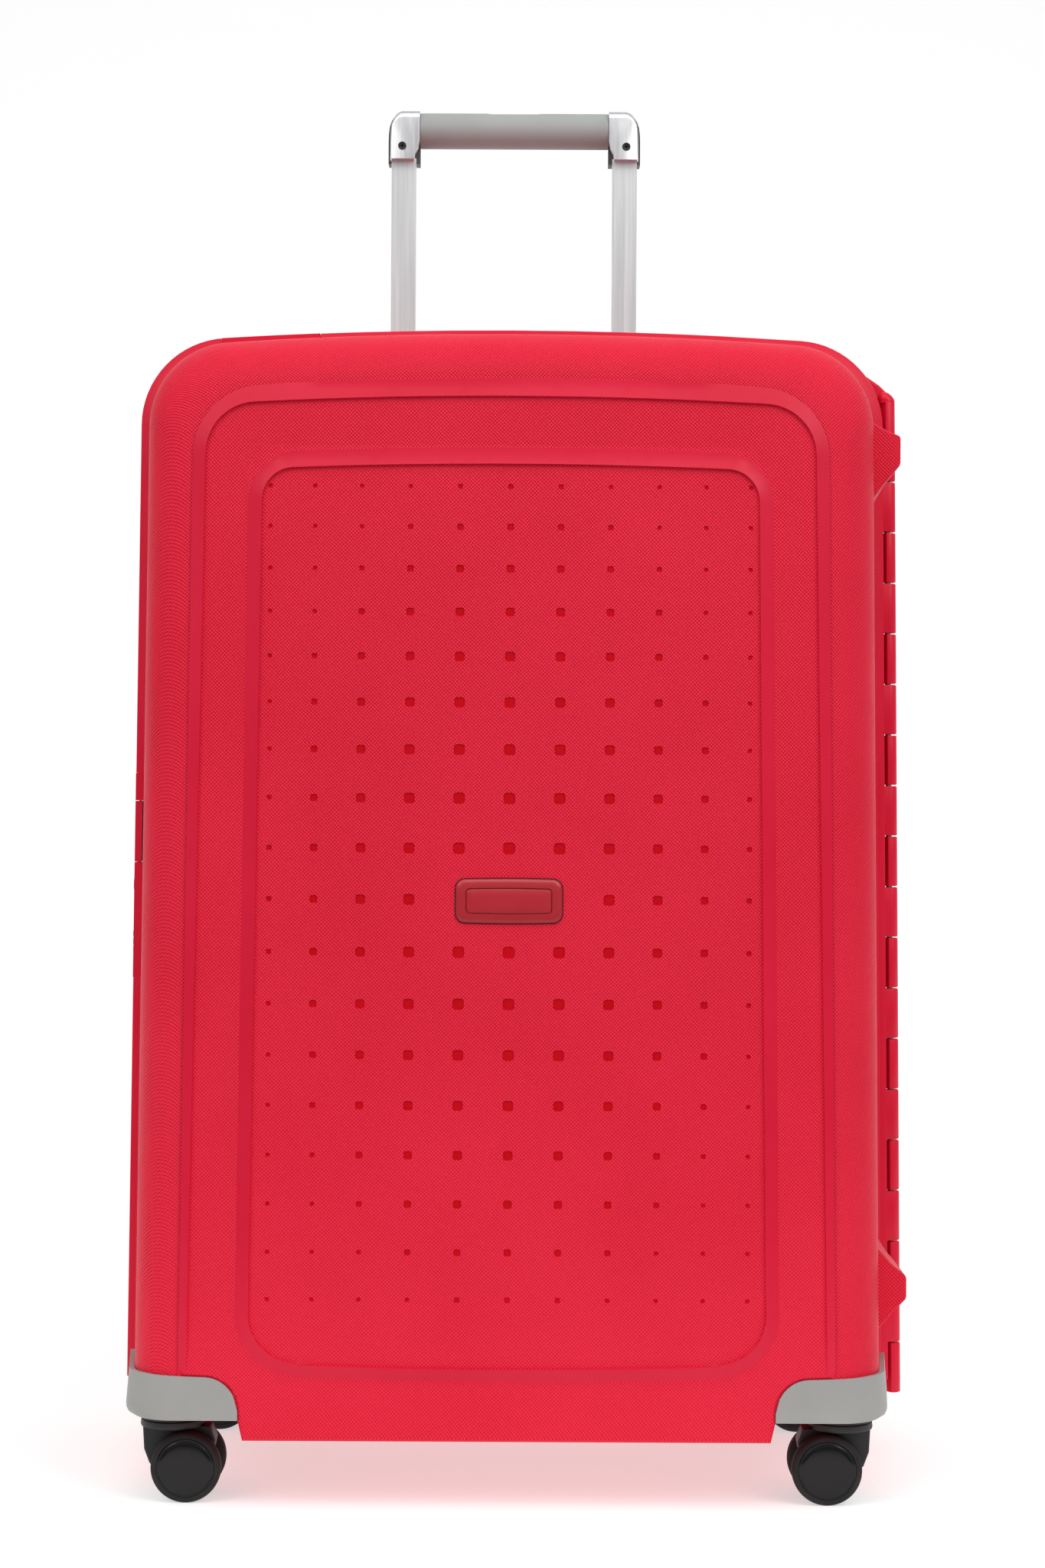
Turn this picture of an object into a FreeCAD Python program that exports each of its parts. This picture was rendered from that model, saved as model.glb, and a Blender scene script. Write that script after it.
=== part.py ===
"""Upright four-wheel hard-shell suitcase, 75 cm class.

Frame: origin on the floor under the middle of the case, +Z up, -Y the front,
+X the hinge side. The two shells meet at the plane y = 0. Millimetres.
"""
import math
import os

import FreeCAD
import Part
import Sketcher

V = FreeCAD.Vector
DIMENSIONS = (
    # the two shells and their rim
    ("rim_low", 252.5, "half width of the rim where the case floor is"),
    ("rim_high", 245.0, "half width of the rim under its top arch"),
    ("rim_top", 749.5, "height of the rim's arch"),
    ("rim_foot", 37.5, "height of the rim's lowest edge"),
    ("rim_sag", 10.0, "drop of the arch from its middle to its ends"),
    ("rim_proud", 5.5, "how far the rim stands out of the walls"),
    ("rim_reach", 9.0, "depth of the rim on each shell"),
    ("rim_corner", 58.0, "radius of the rim's upper corners"),
    ("rim_toe", 10.0, "radius of the rim's lower corners"),
    ("case_floor", 43.0, "height of the case floor"),
    ("blank_foot", 18.0, "lower end of the drafted blank that the floor cuts off"),
    ("depth", 149.5, "depth of one shell"),
    ("draft", 6.5, "draft angle of the walls, degrees"),
    ("face_radius", 30.0, "rounding between the walls and the face"),
    ("wall", 2.2, "thickness of a shell"),
    ("lining_gap", 0.3, "gap between shell and lining"),
    ("lining_thick", 1.0, "thickness of the lining"),
    # the packing side of the two halves
    ("divider_y", 7.0, "front face of the divider panel from the parting plane"),
    ("divider_thick", 1.5, "thickness of the divider panel"),
    ("strap_wide", 38.0, "width of a packing strap"),
    ("strap_thick", 1.5, "thickness of a packing strap"),
    ("strap_long", 900.0, "length of a strap before it is trimmed to the case"),
    ("strap_turn", 33.0, "lean of a packing strap from upright, degrees"),
    ("strap_y", 7.0, "straps behind the parting plane"),
    ("cross_z", 390.0, "height of the crossing"),
    ("buckle_wide", 60.0, "width of the buckle"),
    ("buckle_tall", 36.0, "height of the buckle"),
    # panels on the front face
    ("panel_wide", 188.0, "half width of the middle panel"),
    ("panel_low", 95.0, "lower edge of the middle panel"),
    ("panel_high", 685.0, "upper edge of the middle panel"),
    ("panel_proud", 1.6, "height of the middle panel over the face"),
    ("field_wide", 154.0, "half width of the centre panel"),
    ("field_low", 90.0, "lower edge of the centre panel"),
    ("field_high", 645.0, "upper edge of the centre panel"),
    ("field_proud", 3.2, "height of the centre panel over the face"),
    ("badge_wide", 65.5, "width of the badge frame"),
    ("badge_tall", 27.3, "height of the badge frame"),
    ("badge_z", 377.0, "height of the badge's middle"),
    ("badge_proud", 5.5, "height of the badge frame over the face"),
    ("plate_wide", 51.8, "width of the badge plate"),
    ("plate_tall", 13.9, "height of the badge plate"),
    # wheel wells and corner guards
    ("well_x", 166.0, "inner side of a wheel well"),
    ("well_y", 64.0, "inner end of a wheel well"),
    ("well_top", 56.0, "ceiling of a wheel well"),
    ("guard_seat", 0.5, "depth that a corner guard is let into the shell"),
    ("guard_thick", 1.5, "thickness of a corner guard"),
    ("guard_top", 87.0, "upper edge of a corner guard"),
    # hinge along the right side
    ("hinge_out", 3.2, "hinge axis outside the rim"),
    ("hinge_lean", 0.6, "lean of the hinge axis towards the case, degrees"),
    ("hinge_low", 46.0, "height of the lowest knuckle's end"),
    ("knuckle_pitch", 33.6, "length of one knuckle with its gap"),
    ("knuckle_gap", 0.8, "gap between knuckles"),
    ("knuckle_radius", 5.5, "radius of a knuckle"),
    ("cap_length", 54.0, "length of the plain knuckle at the top"),
    ("pin_radius", 2.0, "radius of the hinge pin"),
    ("running_fit", 0.05, "radial gap of a turning fit"),
    # feet on the hinge side
    ("foot_near", 49.5, "end of a side foot next to the rim"),
    ("foot_far", 104.5, "end of a side foot next to the face"),
    ("low_foot_z", 132.0, "middle of the lower side foot"),
    ("low_foot_x", 251.5, "tip of the lower side foot"),
    ("high_foot_z", 660.0, "middle of the upper side foot"),
    ("high_foot_x", 246.5, "tip of the upper side foot"),
    ("foot_base", 25.0, "half length of a side foot at the wall"),
    ("foot_tip", 7.0, "half length of a side foot at its tip"),
    # latches and lock on the left side of the rim
    ("latch_start", -193.0, "outer end of the top and bottom latches"),
    ("latch_end", -127.0, "inner end of the top and bottom latches"),
    ("latch_play", 0.4, "gap round a latch lever"),
    ("latch_lift", 2.2, "gap under a latch lever"),
    ("lever_back", 6.0, "rear edge of a latch lever"),
    ("lever_axis_y", 4.4, "pivot of a latch lever"),
    ("lever_axis_in", 1.65, "depth of the lever pivot under the rim surface"),
    ("latch_pin", 0.9, "radius of a latch pin"),
    ("lock_low", 320.0, "lower end of the lock unit"),
    ("lever_low", 396.0, "lower end of the centre latch lever"),
    ("lever_high", 437.0, "upper end of the centre latch lever"),
    ("lock_high", 455.0, "upper end of the lock unit"),
    ("dial_z", 338.0, "middle of the lowest dial"),
    ("dial_pitch", 5.2, "distance between dials"),
    ("dial_radius", 3.3, "radius of a number dial"),
    ("dial_thick", 3.4, "thickness of a number dial"),
    ("dial_in", 2.1, "depth of the dial axis under the rim surface"),
    ("key_z", 363.0, "middle of the key cylinder"),
    ("key_radius", 4.0, "radius of the key cylinder"),
    ("button_z", 381.0, "middle of the lock button"),
    ("button_radius", 4.5, "radius of the lock button"),
    # carry handles
    ("handle_y", 50.0, "pivot line of both carry handles"),
    ("handle_reach", 32.0, "pivot line to the middle of the grip bar"),
    ("handle_half", 60.0, "half length of a carry handle"),
    ("handle_arm", 8.5, "width of a handle arm"),
    ("handle_bar", 8.0, "radius of the grip bar"),
    ("handle_up", 746.0, "height of the top handle's pivot line"),
    ("handle_out", 247.0, "distance of the side handle's pivot line from the middle"),
    ("handle_z", 388.0, "middle of the side handle"),
    ("mount_length", 16.0, "length of a handle mount"),
    ("handle_pin", 2.5, "radius of a handle pin"),
    # telescopic handle
    ("tube_x", 78.2, "middle of each tube from the middle of the case"),
    ("tube_y", 137.0, "depth of the tubes behind the parting plane"),
    ("inner_wide", 17.4, "width of an inner tube"),
    ("inner_deep", 13.0, "depth of an inner tube"),
    ("tube_wall", 1.2, "wall of a tube"),
    ("tube_gap", 0.3, "gap between inner and outer tube"),
    ("inner_top", 892.0, "upper end of the inner tubes"),
    ("inner_length", 600.0, "length of the inner tubes"),
    ("channel_wide", 98.0, "half width of the channel in the rear shell"),
    ("channel_y", 123.0, "floor of the channel"),
    ("channel_foot", 62.0, "lower end of the channel"),
    ("base_top", 88.0, "top of the trolley base"),
    ("housing_low", 662.0, "lower face of the trolley top housing"),
    ("housing_high", 704.0, "upper face of the trolley top housing"),
    ("grip_top", 925.0, "top of the grip"),
    ("grip_radius", 12.5, "radius of the grip"),
    ("grip_bore", 9.5, "inner radius of the grip"),
    ("trolley_width", 178.7, "overall width over the brackets"),
    ("bracket_wide", 22.5, "width of a bracket"),
    ("bracket_tall", 36.0, "height of a bracket"),
    ("bracket_deep", 26.0, "depth of a bracket"),
    ("screw_radius", 2.85, "radius of a bracket screw head"),
    ("push_long", 38.0, "length of the grip button"),
    ("push_wide", 11.0, "width of the grip button"),
    ("rod_radius", 2.0, "radius of a release rod"),
    ("lock_pin", 2.5, "radius of a trolley lock pin"),
    # casters
    ("swivel_x", 210.0, "swivel axis from the middle"),
    ("swivel_y", 107.0, "swivel axis from the parting plane"),
    ("trail", 10.0, "wheel axle inboard of the swivel axis"),
    ("wheel_radius", 22.0, "radius of a wheel"),
    ("hub_radius", 18.25, "radius of a hub disc"),
    ("wheel_inner", 9.7, "inner face of a wheel from the caster's middle"),
    ("wheel_outer", 22.5, "outer face of a hub disc from the caster's middle"),
    ("tyre_outer", 21.5, "outer face of a tyre from the caster's middle"),
    ("fork_half", 8.7, "half width of the caster body"),
    ("plate_low", 45.0, "lower face of the turning plate"),
    ("plate_high", 49.7, "upper face of the turning plate"),
    ("plate_radius", 24.0, "radius of the turning plate"),
    ("seat_low", 50.0, "lower face of the caster housing"),
    ("stem_radius", 5.0, "radius of the swivel stem"),
    ("axle_radius", 3.0, "radius of a wheel axle"),
)
KNUCKLES = 18
FRONT = -1
REAR = 1
# a distance that is past the case in every direction
PAST = 1000

doc = FreeCAD.newDocument("upright_suitcase")
sheet = doc.addObject("Spreadsheet::Sheet", "dims")
for row, (alias, value, meaning) in enumerate(DIMENSIONS, start=1):
    sheet.set(f"A{row}", meaning)
    sheet.set(f"B{row}", str(value))
    sheet.setAlias(f"B{row}", alias)
doc.recompute()
nodes = {}


# ---- building blocks: every size is an expression on the sheet's cells ----

def dim(alias):
    """The value of one driving dimension."""
    return float(sheet.get(alias))


def keep(name, solid, placement=None):
    """Record a finished sub-part under its node name."""
    solid.Label = name
    if placement is not None:
        solid.Placement = placement
    nodes[name] = solid
    return solid


def bind_corner(solid, corner):
    """Tie a solid's placement to three expressions."""
    for axis, expression in zip("xyz", corner):
        solid.setExpression(f"Placement.Base.{axis}", str(expression))


def box(name, low, high):
    """A block between two corners."""
    solid = doc.addObject("Part::Box", name)
    for edge, start, end in zip(("Length", "Width", "Height"), low, high):
        solid.setExpression(edge, f"({end}) - ({start})")
    bind_corner(solid, low)
    return solid


def cylinder(name, start, axis, radius, length):
    """A round bar from a start point along +X, +Y or +Z."""
    turns = {"x": FreeCAD.Rotation(V(0, 1, 0), 90), "y": FreeCAD.Rotation(V(1, 0, 0), -90),
             "z": FreeCAD.Rotation()}
    solid = doc.addObject("Part::Cylinder", name)
    solid.Placement = FreeCAD.Placement(V(), turns[axis])
    solid.setExpression("Radius", str(radius))
    solid.setExpression("Height", str(length))
    bind_corner(solid, start)
    return solid


def fuse(name, *solids):
    """Solids joined into one."""
    result = doc.addObject("Part::MultiFuse", name)
    result.Shapes = list(solids)
    return result


def common(name, *solids):
    """The room that solids share."""
    result = doc.addObject("Part::MultiCommon", name)
    result.Shapes = list(solids)
    return result


def cut(name, base, *tools):
    """Base minus every tool."""
    result = doc.addObject("Part::Cut", name)
    result.Base = base
    result.Tool = tools[0] if len(tools) == 1 else fuse(f"{name}_tools", *tools)
    return result


def group(name, *solids):
    """Separate solids that share one node."""
    result = doc.addObject("Part::Compound", name)
    result.Links = list(solids)
    return result


def signed_box(name, sign_x, sign_y, low, high):
    """A block given by distances from the middle planes, on the side that the signs say."""
    spans = []
    for sign, start, end in zip((sign_x, sign_y, 1), low, high):
        spans.append((start, end) if sign > 0 else (f"-({end})", f"-({start})"))
    return box(name, [span[0] for span in spans], [span[1] for span in spans])


# ---- the drafted blank of a shell and the rim ----

def outline_sketch(body, half_low, half_high, low, top, sag):
    """Straight sides that lean in and a shallow arch, closed, in the XZ plane."""
    plane = next(item for item in body.Origin.OriginFeatures if item.Role == "XZ_Plane")
    sketch = body.newObject("Sketcher::SketchObject", f"{body.Name}_outline")
    sketch.AttachmentSupport = [(plane, "")]
    sketch.MapMode = "FlatFace"
    values = [body.evalExpression(text) for text in (half_low, half_high, low, top, sag)]
    wide, narrow, foot, crest, drop = [float(value) for value in values]
    shoulder = crest - drop
    radius = (narrow ** 2 + drop ** 2) / (2 * drop)
    corners = [V(-wide, foot, 0), V(wide, foot, 0), V(narrow, shoulder, 0), V(-narrow, shoulder, 0)]
    sweep = math.asin(narrow / radius)
    arch = Part.ArcOfCircle(Part.Circle(V(0, crest - radius, 0), V(0, 0, 1), radius),
                            math.pi / 2 - sweep, math.pi / 2 + sweep)
    sketch.addGeometry([Part.LineSegment(corners[0], corners[1]),
                        Part.LineSegment(corners[1], corners[2]), arch,
                        Part.LineSegment(corners[3], corners[0])], False)
    join = Sketcher.Constraint
    sketch.addConstraint([join("Coincident", 0, 2, 1, 1), join("Coincident", 1, 2, 2, 1),
                          join("Coincident", 2, 2, 3, 1), join("Coincident", 3, 2, 0, 1)])
    ends = ((0, 1, f"-({half_low})", low), (1, 1, half_low, low),
            (2, 1, half_high, f"({top}) - ({sag})"), (3, 1, f"-({half_high})", f"({top}) - ({sag})"))
    for (line, end, across, up), point in zip(ends, corners):
        for kind, expression, value in (("DistanceX", across, point.x), ("DistanceY", up, point.y)):
            index = sketch.addConstraint(join(kind, -1, 1, line, end, value))
            sketch.setExpression(f"Constraints[{index}]", expression)
    index = sketch.addConstraint(join("Radius", 2, radius))
    sketch.setExpression(f"Constraints[{index}]", f"(({half_high})^2 + ({sag})^2) / (2 * ({sag}))")
    return sketch


def edges_where(feature, test):
    """Names of the feature's edges whose end points pass the test."""
    doc.recompute()
    names = []
    for number, edge in enumerate(feature.Shape.Edges, start=1):
        points = [vertex.Point for vertex in edge.Vertexes]
        if len(points) == 2 and test(points):
            names.append(f"Edge{number}")
    return names


def round_edges(body, feature, test, radius):
    """A fillet on the feature's edges that pass the test."""
    rounding = body.newObject("PartDesign::Fillet", f"{feature.Name}_round")
    rounding.Base = (feature, edges_where(feature, test))
    rounding.setExpression("Radius", radius)
    doc.recompute()
    return rounding


def crosswise(points):
    """Whether an edge runs from front to back."""
    return abs(points[0].y - points[1].y) > 5


def blank(name, side, grow):
    """Solid drafted block of one shell, grown (or shrunk, if negative) all round."""
    body = doc.addObject("PartDesign::Body", name)
    # the walls stand rim_proud inside the rim outline
    inset = f"({grow}) - dims.rim_proud"
    sketch = outline_sketch(body, f"dims.rim_low + {inset}", f"dims.rim_high + {inset}",
                            "dims.blank_foot", f"dims.rim_top + {inset}", "dims.rim_sag")
    pad = body.newObject("PartDesign::Pad", f"{name}_pad")
    pad.Profile = sketch
    pad.setExpression("Length", f"dims.depth + ({grow})")
    pad.setExpression("TaperAngle", "-dims.draft")
    pad.Reversed = side == REAR
    corner = round_edges(body, pad, lambda ends: crosswise(ends) and ends[0].z > 600,
                         f"dims.rim_corner - dims.rim_proud + ({grow})")
    face = side * (dim("depth") + float(body.evalExpression(grow)))

    def on_face(ends):
        flat = all(abs(end.y - face) < 0.01 for end in ends)
        return flat and max(end.z for end in ends) > 100

    round_edges(body, corner, on_face, f"dims.face_radius + ({grow})")
    return body


def rim_block():
    """Solid slab of the rim outline over both shells."""
    body = doc.addObject("PartDesign::Body", "rim_block")
    sketch = outline_sketch(body, "dims.rim_low", "dims.rim_high", "dims.rim_foot", "dims.rim_top",
                            "dims.rim_sag")
    pad = body.newObject("PartDesign::Pad", "rim_pad")
    pad.Profile = sketch
    pad.setExpression("Length", "2 * dims.rim_reach")
    pad.SideType = "Symmetric"
    top = round_edges(body, pad, lambda ends: crosswise(ends) and ends[0].z > 600, "dims.rim_corner")
    round_edges(body, top, lambda ends: crosswise(ends) and ends[0].z < 60, "dims.rim_toe")
    return body


def well_blocks(name, side, inset):
    """The two wheel wells of a shell, and the space under its floor."""
    floor = f"dims.case_floor + ({inset})"
    blocks = [signed_box(f"{name}_under", 1, side, (-PAST, -1, 0), (PAST, PAST, floor))]
    for sign in (-1, 1):
        blocks.append(signed_box(f"{name}_well_{sign + 1}", sign, side,
                                 (f"dims.well_x - ({inset})", f"dims.well_y - ({inset})", 0),
                                 (PAST, PAST, f"dims.well_top + ({inset})")))
    return blocks


def channel_block(name, inset):
    """The channel that the telescopic handle lies in."""
    return box(name, (f"-dims.channel_wide - ({inset})", f"dims.channel_y - ({inset})",
                      f"dims.channel_foot - ({inset})"),
               (f"dims.channel_wide + ({inset})", PAST, PAST))


def half_case(name, side, inset):
    """The room of one shell, the given distance inside its outer surface."""
    tools = well_blocks(name, side, inset)
    if side == REAR:
        tools.append(channel_block(f"{name}_channel", inset))
    return cut(f"{name}_room", blank(f"{name}_blank", side, f"-({inset})"), *tools)


# ---- the hinge ----

def hinge_bar(name, radius, start, length):
    """A round bar on the leaning hinge axis, from a distance along it."""
    bar = doc.addObject("Part::Cylinder", name)
    bar.Placement = FreeCAD.Placement(V(), FreeCAD.Rotation(V(0, 1, 0), -dim("hinge_lean")))
    bar.setExpression("Radius", radius)
    bar.setExpression("Height", length)
    bar.setExpression("Placement.Base.x",
                      f"dims.rim_low + dims.hinge_out - ({start}) * sin(dims.hinge_lean)")
    bar.setExpression("Placement.Base.z", f"dims.hinge_low + ({start}) * cos(dims.hinge_lean)")
    return bar


def knuckles(name, side, radius, gap):
    """Every second knuckle; the rear shell also has the plain one at the top."""
    first = 0 if side == REAR else 1
    bars = []
    for index in range(first, KNUCKLES, 2):
        bars.append(hinge_bar(f"{name}_{index}", radius, f"{index} * dims.knuckle_pitch + ({gap}) / 2",
                              f"dims.knuckle_pitch - ({gap})"))
    if side == REAR:
        bars.append(hinge_bar(f"{name}_cap", radius, f"{KNUCKLES} * dims.knuckle_pitch + ({gap}) / 2",
                              f"dims.cap_length - ({gap})"))
    return bars


def side_foot(name, side, height, tip):
    """A foot on the hinge side that tapers outwards from the wall."""
    wedge = doc.addObject("Part::Wedge", name)
    wedge.Placement = FreeCAD.Placement(V(), FreeCAD.Rotation(V(0, 0, 1), -90))
    near, far = "dims.foot_near", "dims.foot_far"
    if side == REAR:
        near, far = f"-{far}", f"-{near}"
    for edge, expression in (("Xmin", near), ("X2min", near), ("Xmax", far), ("X2max", far),
                             ("Ymin", f"{tip} - 25"), ("Ymax", tip),
                             ("Zmin", f"{height} - dims.foot_base - dims.foot_tip"),
                             ("Zmax", f"{height} + dims.foot_base + dims.foot_tip"),
                             ("Z2min", f"{height} - dims.foot_tip"), ("Z2max", f"{height} + dims.foot_tip")):
        wedge.setExpression(edge, expression)
    return wedge


# ---- the rim's latches and lock ----

LATCH_BOXES = {
    "top": (("dims.latch_start", "dims.case_floor + 600"), ("dims.latch_end", PAST)),
    "bottom": (("dims.latch_start", 0), ("dims.latch_end", "dims.case_floor + 20")),
    "center": ((-PAST, "dims.lever_low"), (0, "dims.lever_high")),
}


def rim_piece(name, low, high, back, lift, core):
    """A piece of the rim between two corners, lifted off the wall under it."""
    window = box(f"{name}_window", (low[0], "-dims.rim_reach", low[1]), (high[0], back, high[1]))
    return cut(f"{name}_piece", common(f"{name}_stock", core["rim"], window), lift)


def rim_slope():
    """How fast the rim's sides lean in with height."""
    return (dim("rim_low") - dim("rim_high")) / (dim("rim_top") - dim("rim_sag") - dim("rim_foot"))


def rim_surface(z):
    """Where the left side of the rim is at a height."""
    return -dim("rim_low") + rim_slope() * (z - dim("rim_foot"))


def latch_axis(latch):
    """A point on the lever's pivot line and its direction."""
    if latch == "center":
        z = (dim("lever_low") + dim("lever_high")) / 2
        x = rim_surface(z) + dim("lever_axis_in")
        return V(x, dim("lever_axis_y"), z), V(rim_slope(), 0, 1).normalize()
    x = (dim("latch_start") + dim("latch_end")) / 2
    if latch == "bottom":
        return V(x, dim("lever_axis_y"), dim("rim_foot") + dim("lever_axis_in")), V(1, 0, 0)
    radius = (dim("rim_high") ** 2 + dim("rim_sag") ** 2) / (2 * dim("rim_sag"))
    slope = -x / radius
    height = dim("rim_top") - x * x / (2 * radius)
    return V(x, dim("lever_axis_y"), height - dim("lever_axis_in") - 0.25), V(1, 0, slope).normalize()


def latch_pin(name, latch, radius, half_length):
    """A pin on a lever's pivot line."""
    middle, along = latch_axis(latch)
    pin = doc.addObject("Part::Cylinder", name)
    pin.setExpression("Radius", radius)
    pin.Height = 2 * half_length
    pin.Placement = FreeCAD.Placement(middle - along * half_length, FreeCAD.Rotation(V(0, 0, 1), along))
    return pin


def latch_windows(core):
    """Recesses in the rim for the three latches and the lock, down to the walls."""
    windows = []
    for latch, (low, high) in LATCH_BOXES.items():
        if latch == "center":
            low, high = (low[0], "dims.lock_low"), (high[0], "dims.lock_high")
        windows.append(rim_piece(f"{latch}_recess", low, high, "dims.rim_reach", core["walls"], core))
    return windows


def shell(side, core):
    """One moulded shell with its rim, its share of the hinge and its side feet."""
    name = "front_shell" if side == FRONT else "rear_shell"
    half = signed_box(f"{name}_half", 1, side, (-PAST, 0, 0), (PAST, PAST, PAST))
    solids = [half_case(f"{name}_outer", side, "0"), common(f"{name}_rim", core["rim"], half)]
    solids += knuckles(f"{name}_knuckle", side, "dims.knuckle_radius", "dims.knuckle_gap")
    solids.append(side_foot(f"{name}_low_foot", side, "dims.low_foot_z", "dims.low_foot_x"))
    solids.append(side_foot(f"{name}_high_foot", side, "dims.high_foot_z", "dims.high_foot_x"))
    tools = [half_case(f"{name}_inner", side, "dims.wall"), *guards(side)]
    tools += knuckles(f"{name}_clear", -side, "dims.knuckle_radius + 0.5", "0")
    length = f"{KNUCKLES} * dims.knuckle_pitch + dims.cap_length"
    if side == FRONT:
        for panel in ("panel", "field"):
            front = f"-dims.depth - dims.{panel}_proud"
            solids.append(box(f"{panel}_plate", (f"-dims.{panel}_wide", front, f"dims.{panel}_low"),
                              (f"dims.{panel}_wide", "-dims.depth + 1", f"dims.{panel}_high")))
        tools.append(hinge_bar("front_bore", "dims.pin_radius + dims.running_fit", "0", length))
        tools.append(badge_block("badge_seat"))
    else:
        tools.append(core["hinge_pin"])
        tools += [core["pins"][latch] for latch in ("top", "bottom")]
    return keep(name, cut(name, fuse(f"{name}_stock", *solids), *tools, *core["windows"]))


def badge_block(name):
    """The room that the badge takes on the front face."""
    return box(name, ("-dims.badge_wide / 2", "-dims.depth - dims.badge_proud",
                      "dims.badge_z - dims.badge_tall / 2"),
               ("dims.badge_wide / 2", "-dims.depth - 1", "dims.badge_z + dims.badge_tall / 2"))


def badge():
    """A plain frame round a blank plate."""
    corners = []
    for sign in (-1, 1):
        corners.append((f"{sign} * dims.plate_wide / 2", f"dims.badge_z + {sign} * dims.plate_tall / 2"))
    low, high = corners
    back = "-dims.depth - 1.5"
    plate = box("badge_plate", (low[0], "-dims.depth - dims.badge_proud + 0.6", low[1]),
                (high[0], back, high[1]))
    pocket = box("badge_pocket", (low[0], -PAST, low[1]), (high[0], back, high[1]))
    keep("badge_plate", plate)
    keep("badge_frame", cut("badge_frame", badge_block("badge_stock"), pocket))


def lining(side):
    """Thin fabric skin just inside a shell."""
    name = "front_lining" if side == FRONT else "rear_lining"
    inner = half_case(f"{name}_inner", side, "dims.wall + dims.lining_gap + dims.lining_thick")
    outer = half_case(f"{name}_outer", side, "dims.wall + dims.lining_gap")
    edge = box(f"{name}_edge", (-PAST, -1.5, 0), (PAST, 1.5, PAST))
    keep(name, cut(name, outer, inner, edge))


def guards(side):
    """Two corner guards let into the lower corners of one shell."""
    end = "front" if side == FRONT else "rear"
    skins = []
    for sign, hand in ((-1, "left"), (1, "right")):
        name = f"{end}_guard_{hand}"
        skin = cut(f"{name}_skin", blank(f"{name}_outer", side, "dims.guard_thick"),
                   blank(f"{name}_inner", side, "-dims.guard_seat"))
        window = signed_box(f"{name}_window", sign, side, ("dims.well_x", "dims.well_y", "dims.well_top"),
                            (PAST, PAST, "dims.guard_top"))
        skins.append(keep(name, common(name, skin, window)))
    return skins


def divider():
    """Zipped fabric panel that closes the front half."""
    room = half_case("divider_room", FRONT, "dims.wall + 3")
    slab = box("divider_slab", (-PAST, "-dims.divider_y", 0),
               (PAST, "dims.divider_thick - dims.divider_y", PAST))
    keep("divider_panel", common("divider_panel", room, slab))


def ribbons():
    """Two crossed packing straps in the rear half and the buckle where they meet."""
    room = half_case("ribbon_room", REAR, "dims.wall + 3")
    straps = []
    for sign in (-1, 1):
        strap = doc.addObject("Part::Box", f"strap_{sign + 1}")
        for edge, alias in (("Length", "strap_wide"), ("Width", "strap_thick"), ("Height", "strap_long")):
            strap.setExpression(edge, f"dims.{alias}")
        turn = FreeCAD.Rotation(V(0, 1, 0), sign * dim("strap_turn"))
        to_start = turn.multVec(V(dim("strap_wide") / 2, 0, dim("strap_long") / 2))
        strap.Placement = FreeCAD.Placement(V(0, dim("strap_y"), dim("cross_z")) - to_start, turn)
        straps.append(strap)
    low, high = "dims.cross_z - dims.buckle_tall / 2", "dims.cross_z + dims.buckle_tall / 2"
    buckle = box("buckle_stock", ("-dims.buckle_wide / 2", "dims.strap_y - 2.5", low),
                 ("dims.buckle_wide / 2", "dims.strap_y + 4", high))
    crossed = common("ribbon_cross", room, fuse("ribbon_pair", *straps))
    keep("ribbon_buckle", cut("ribbon_buckle", buckle, crossed))
    keep("rear_cross_ribbons", crossed)


def latches(core):
    """Three levers that close the case, each on its own pin."""
    lift = core["lifted"]
    play = "dims.latch_play"
    for latch, (low, high) in LATCH_BOXES.items():
        if latch == "center":
            low, high = (low[0], f"{low[1]} + {play}"), (high[0], f"{high[1]} - {play}")
        else:
            low, high = (f"{low[0]} + {play}", low[1]), (f"{high[0]} - {play}", high[1])
        piece = rim_piece(f"{latch}_lever", low, high, "dims.lever_back", lift, core)
        bore = latch_pin(f"{latch}_lever_bore", latch, "dims.latch_pin + dims.running_fit", 40)
        keep(f"{latch}_latch_lever", cut(f"{latch}_latch_lever", piece, bore))
    keep("latch_pins", group("latch_pins", *core["pins"].values()))


def lock(core):
    """Number dials, key cylinder and button in a housing on the rim."""
    low = rim_piece("lock_low", (-PAST, "dims.lock_low"), (0, "dims.lever_low"), "dims.rim_reach",
                    core["seat"], core)
    high = rim_piece("lock_high", (-PAST, "dims.lever_high"), (0, "dims.lock_high"), "dims.rim_reach",
                     core["seat"], core)
    tools = [core["pins"]["center"]]
    for index in range(3):
        middle = f"dims.dial_z + {index} * dims.dial_pitch"
        x = rim_surface(dim("dial_z")) + dim("dial_in")
        wheel = cylinder(f"lock_dial_{index + 1}", (x, 0, f"{middle} - dims.dial_thick / 2"), "z",
                         "dims.dial_radius", "dims.dial_thick")
        keep(f"lock_dial_{index + 1}", wheel)
        tools.append(cylinder(f"dial_pocket_{index}", (x, 0, f"{middle} - dims.dial_thick / 2 - 0.4"), "z",
                              "dims.dial_radius + 0.4", "dims.dial_thick + 0.8"))
    x = rim_surface(dim("key_z"))
    keep("lock_cylinder", cylinder("lock_cylinder", (x - 0.4, 0, "dims.key_z"), "x", "dims.key_radius", 5))
    tools.append(cylinder("key_pocket", (x - 5, 0, "dims.key_z"), "x",
                          "dims.key_radius + dims.running_fit", 20))
    x = rim_surface(dim("button_z"))
    keep("lock_button", cylinder("lock_button", (x - 0.9, 0, "dims.button_z"), "x", "dims.button_radius", 3))
    tools.append(cylinder("button_pocket", (x - 5, 0, "dims.button_z"), "x", "dims.button_radius + 0.1", 20))
    keep("lock_housing", cut("lock_housing", fuse("lock_stock", low, high), *tools))


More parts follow.
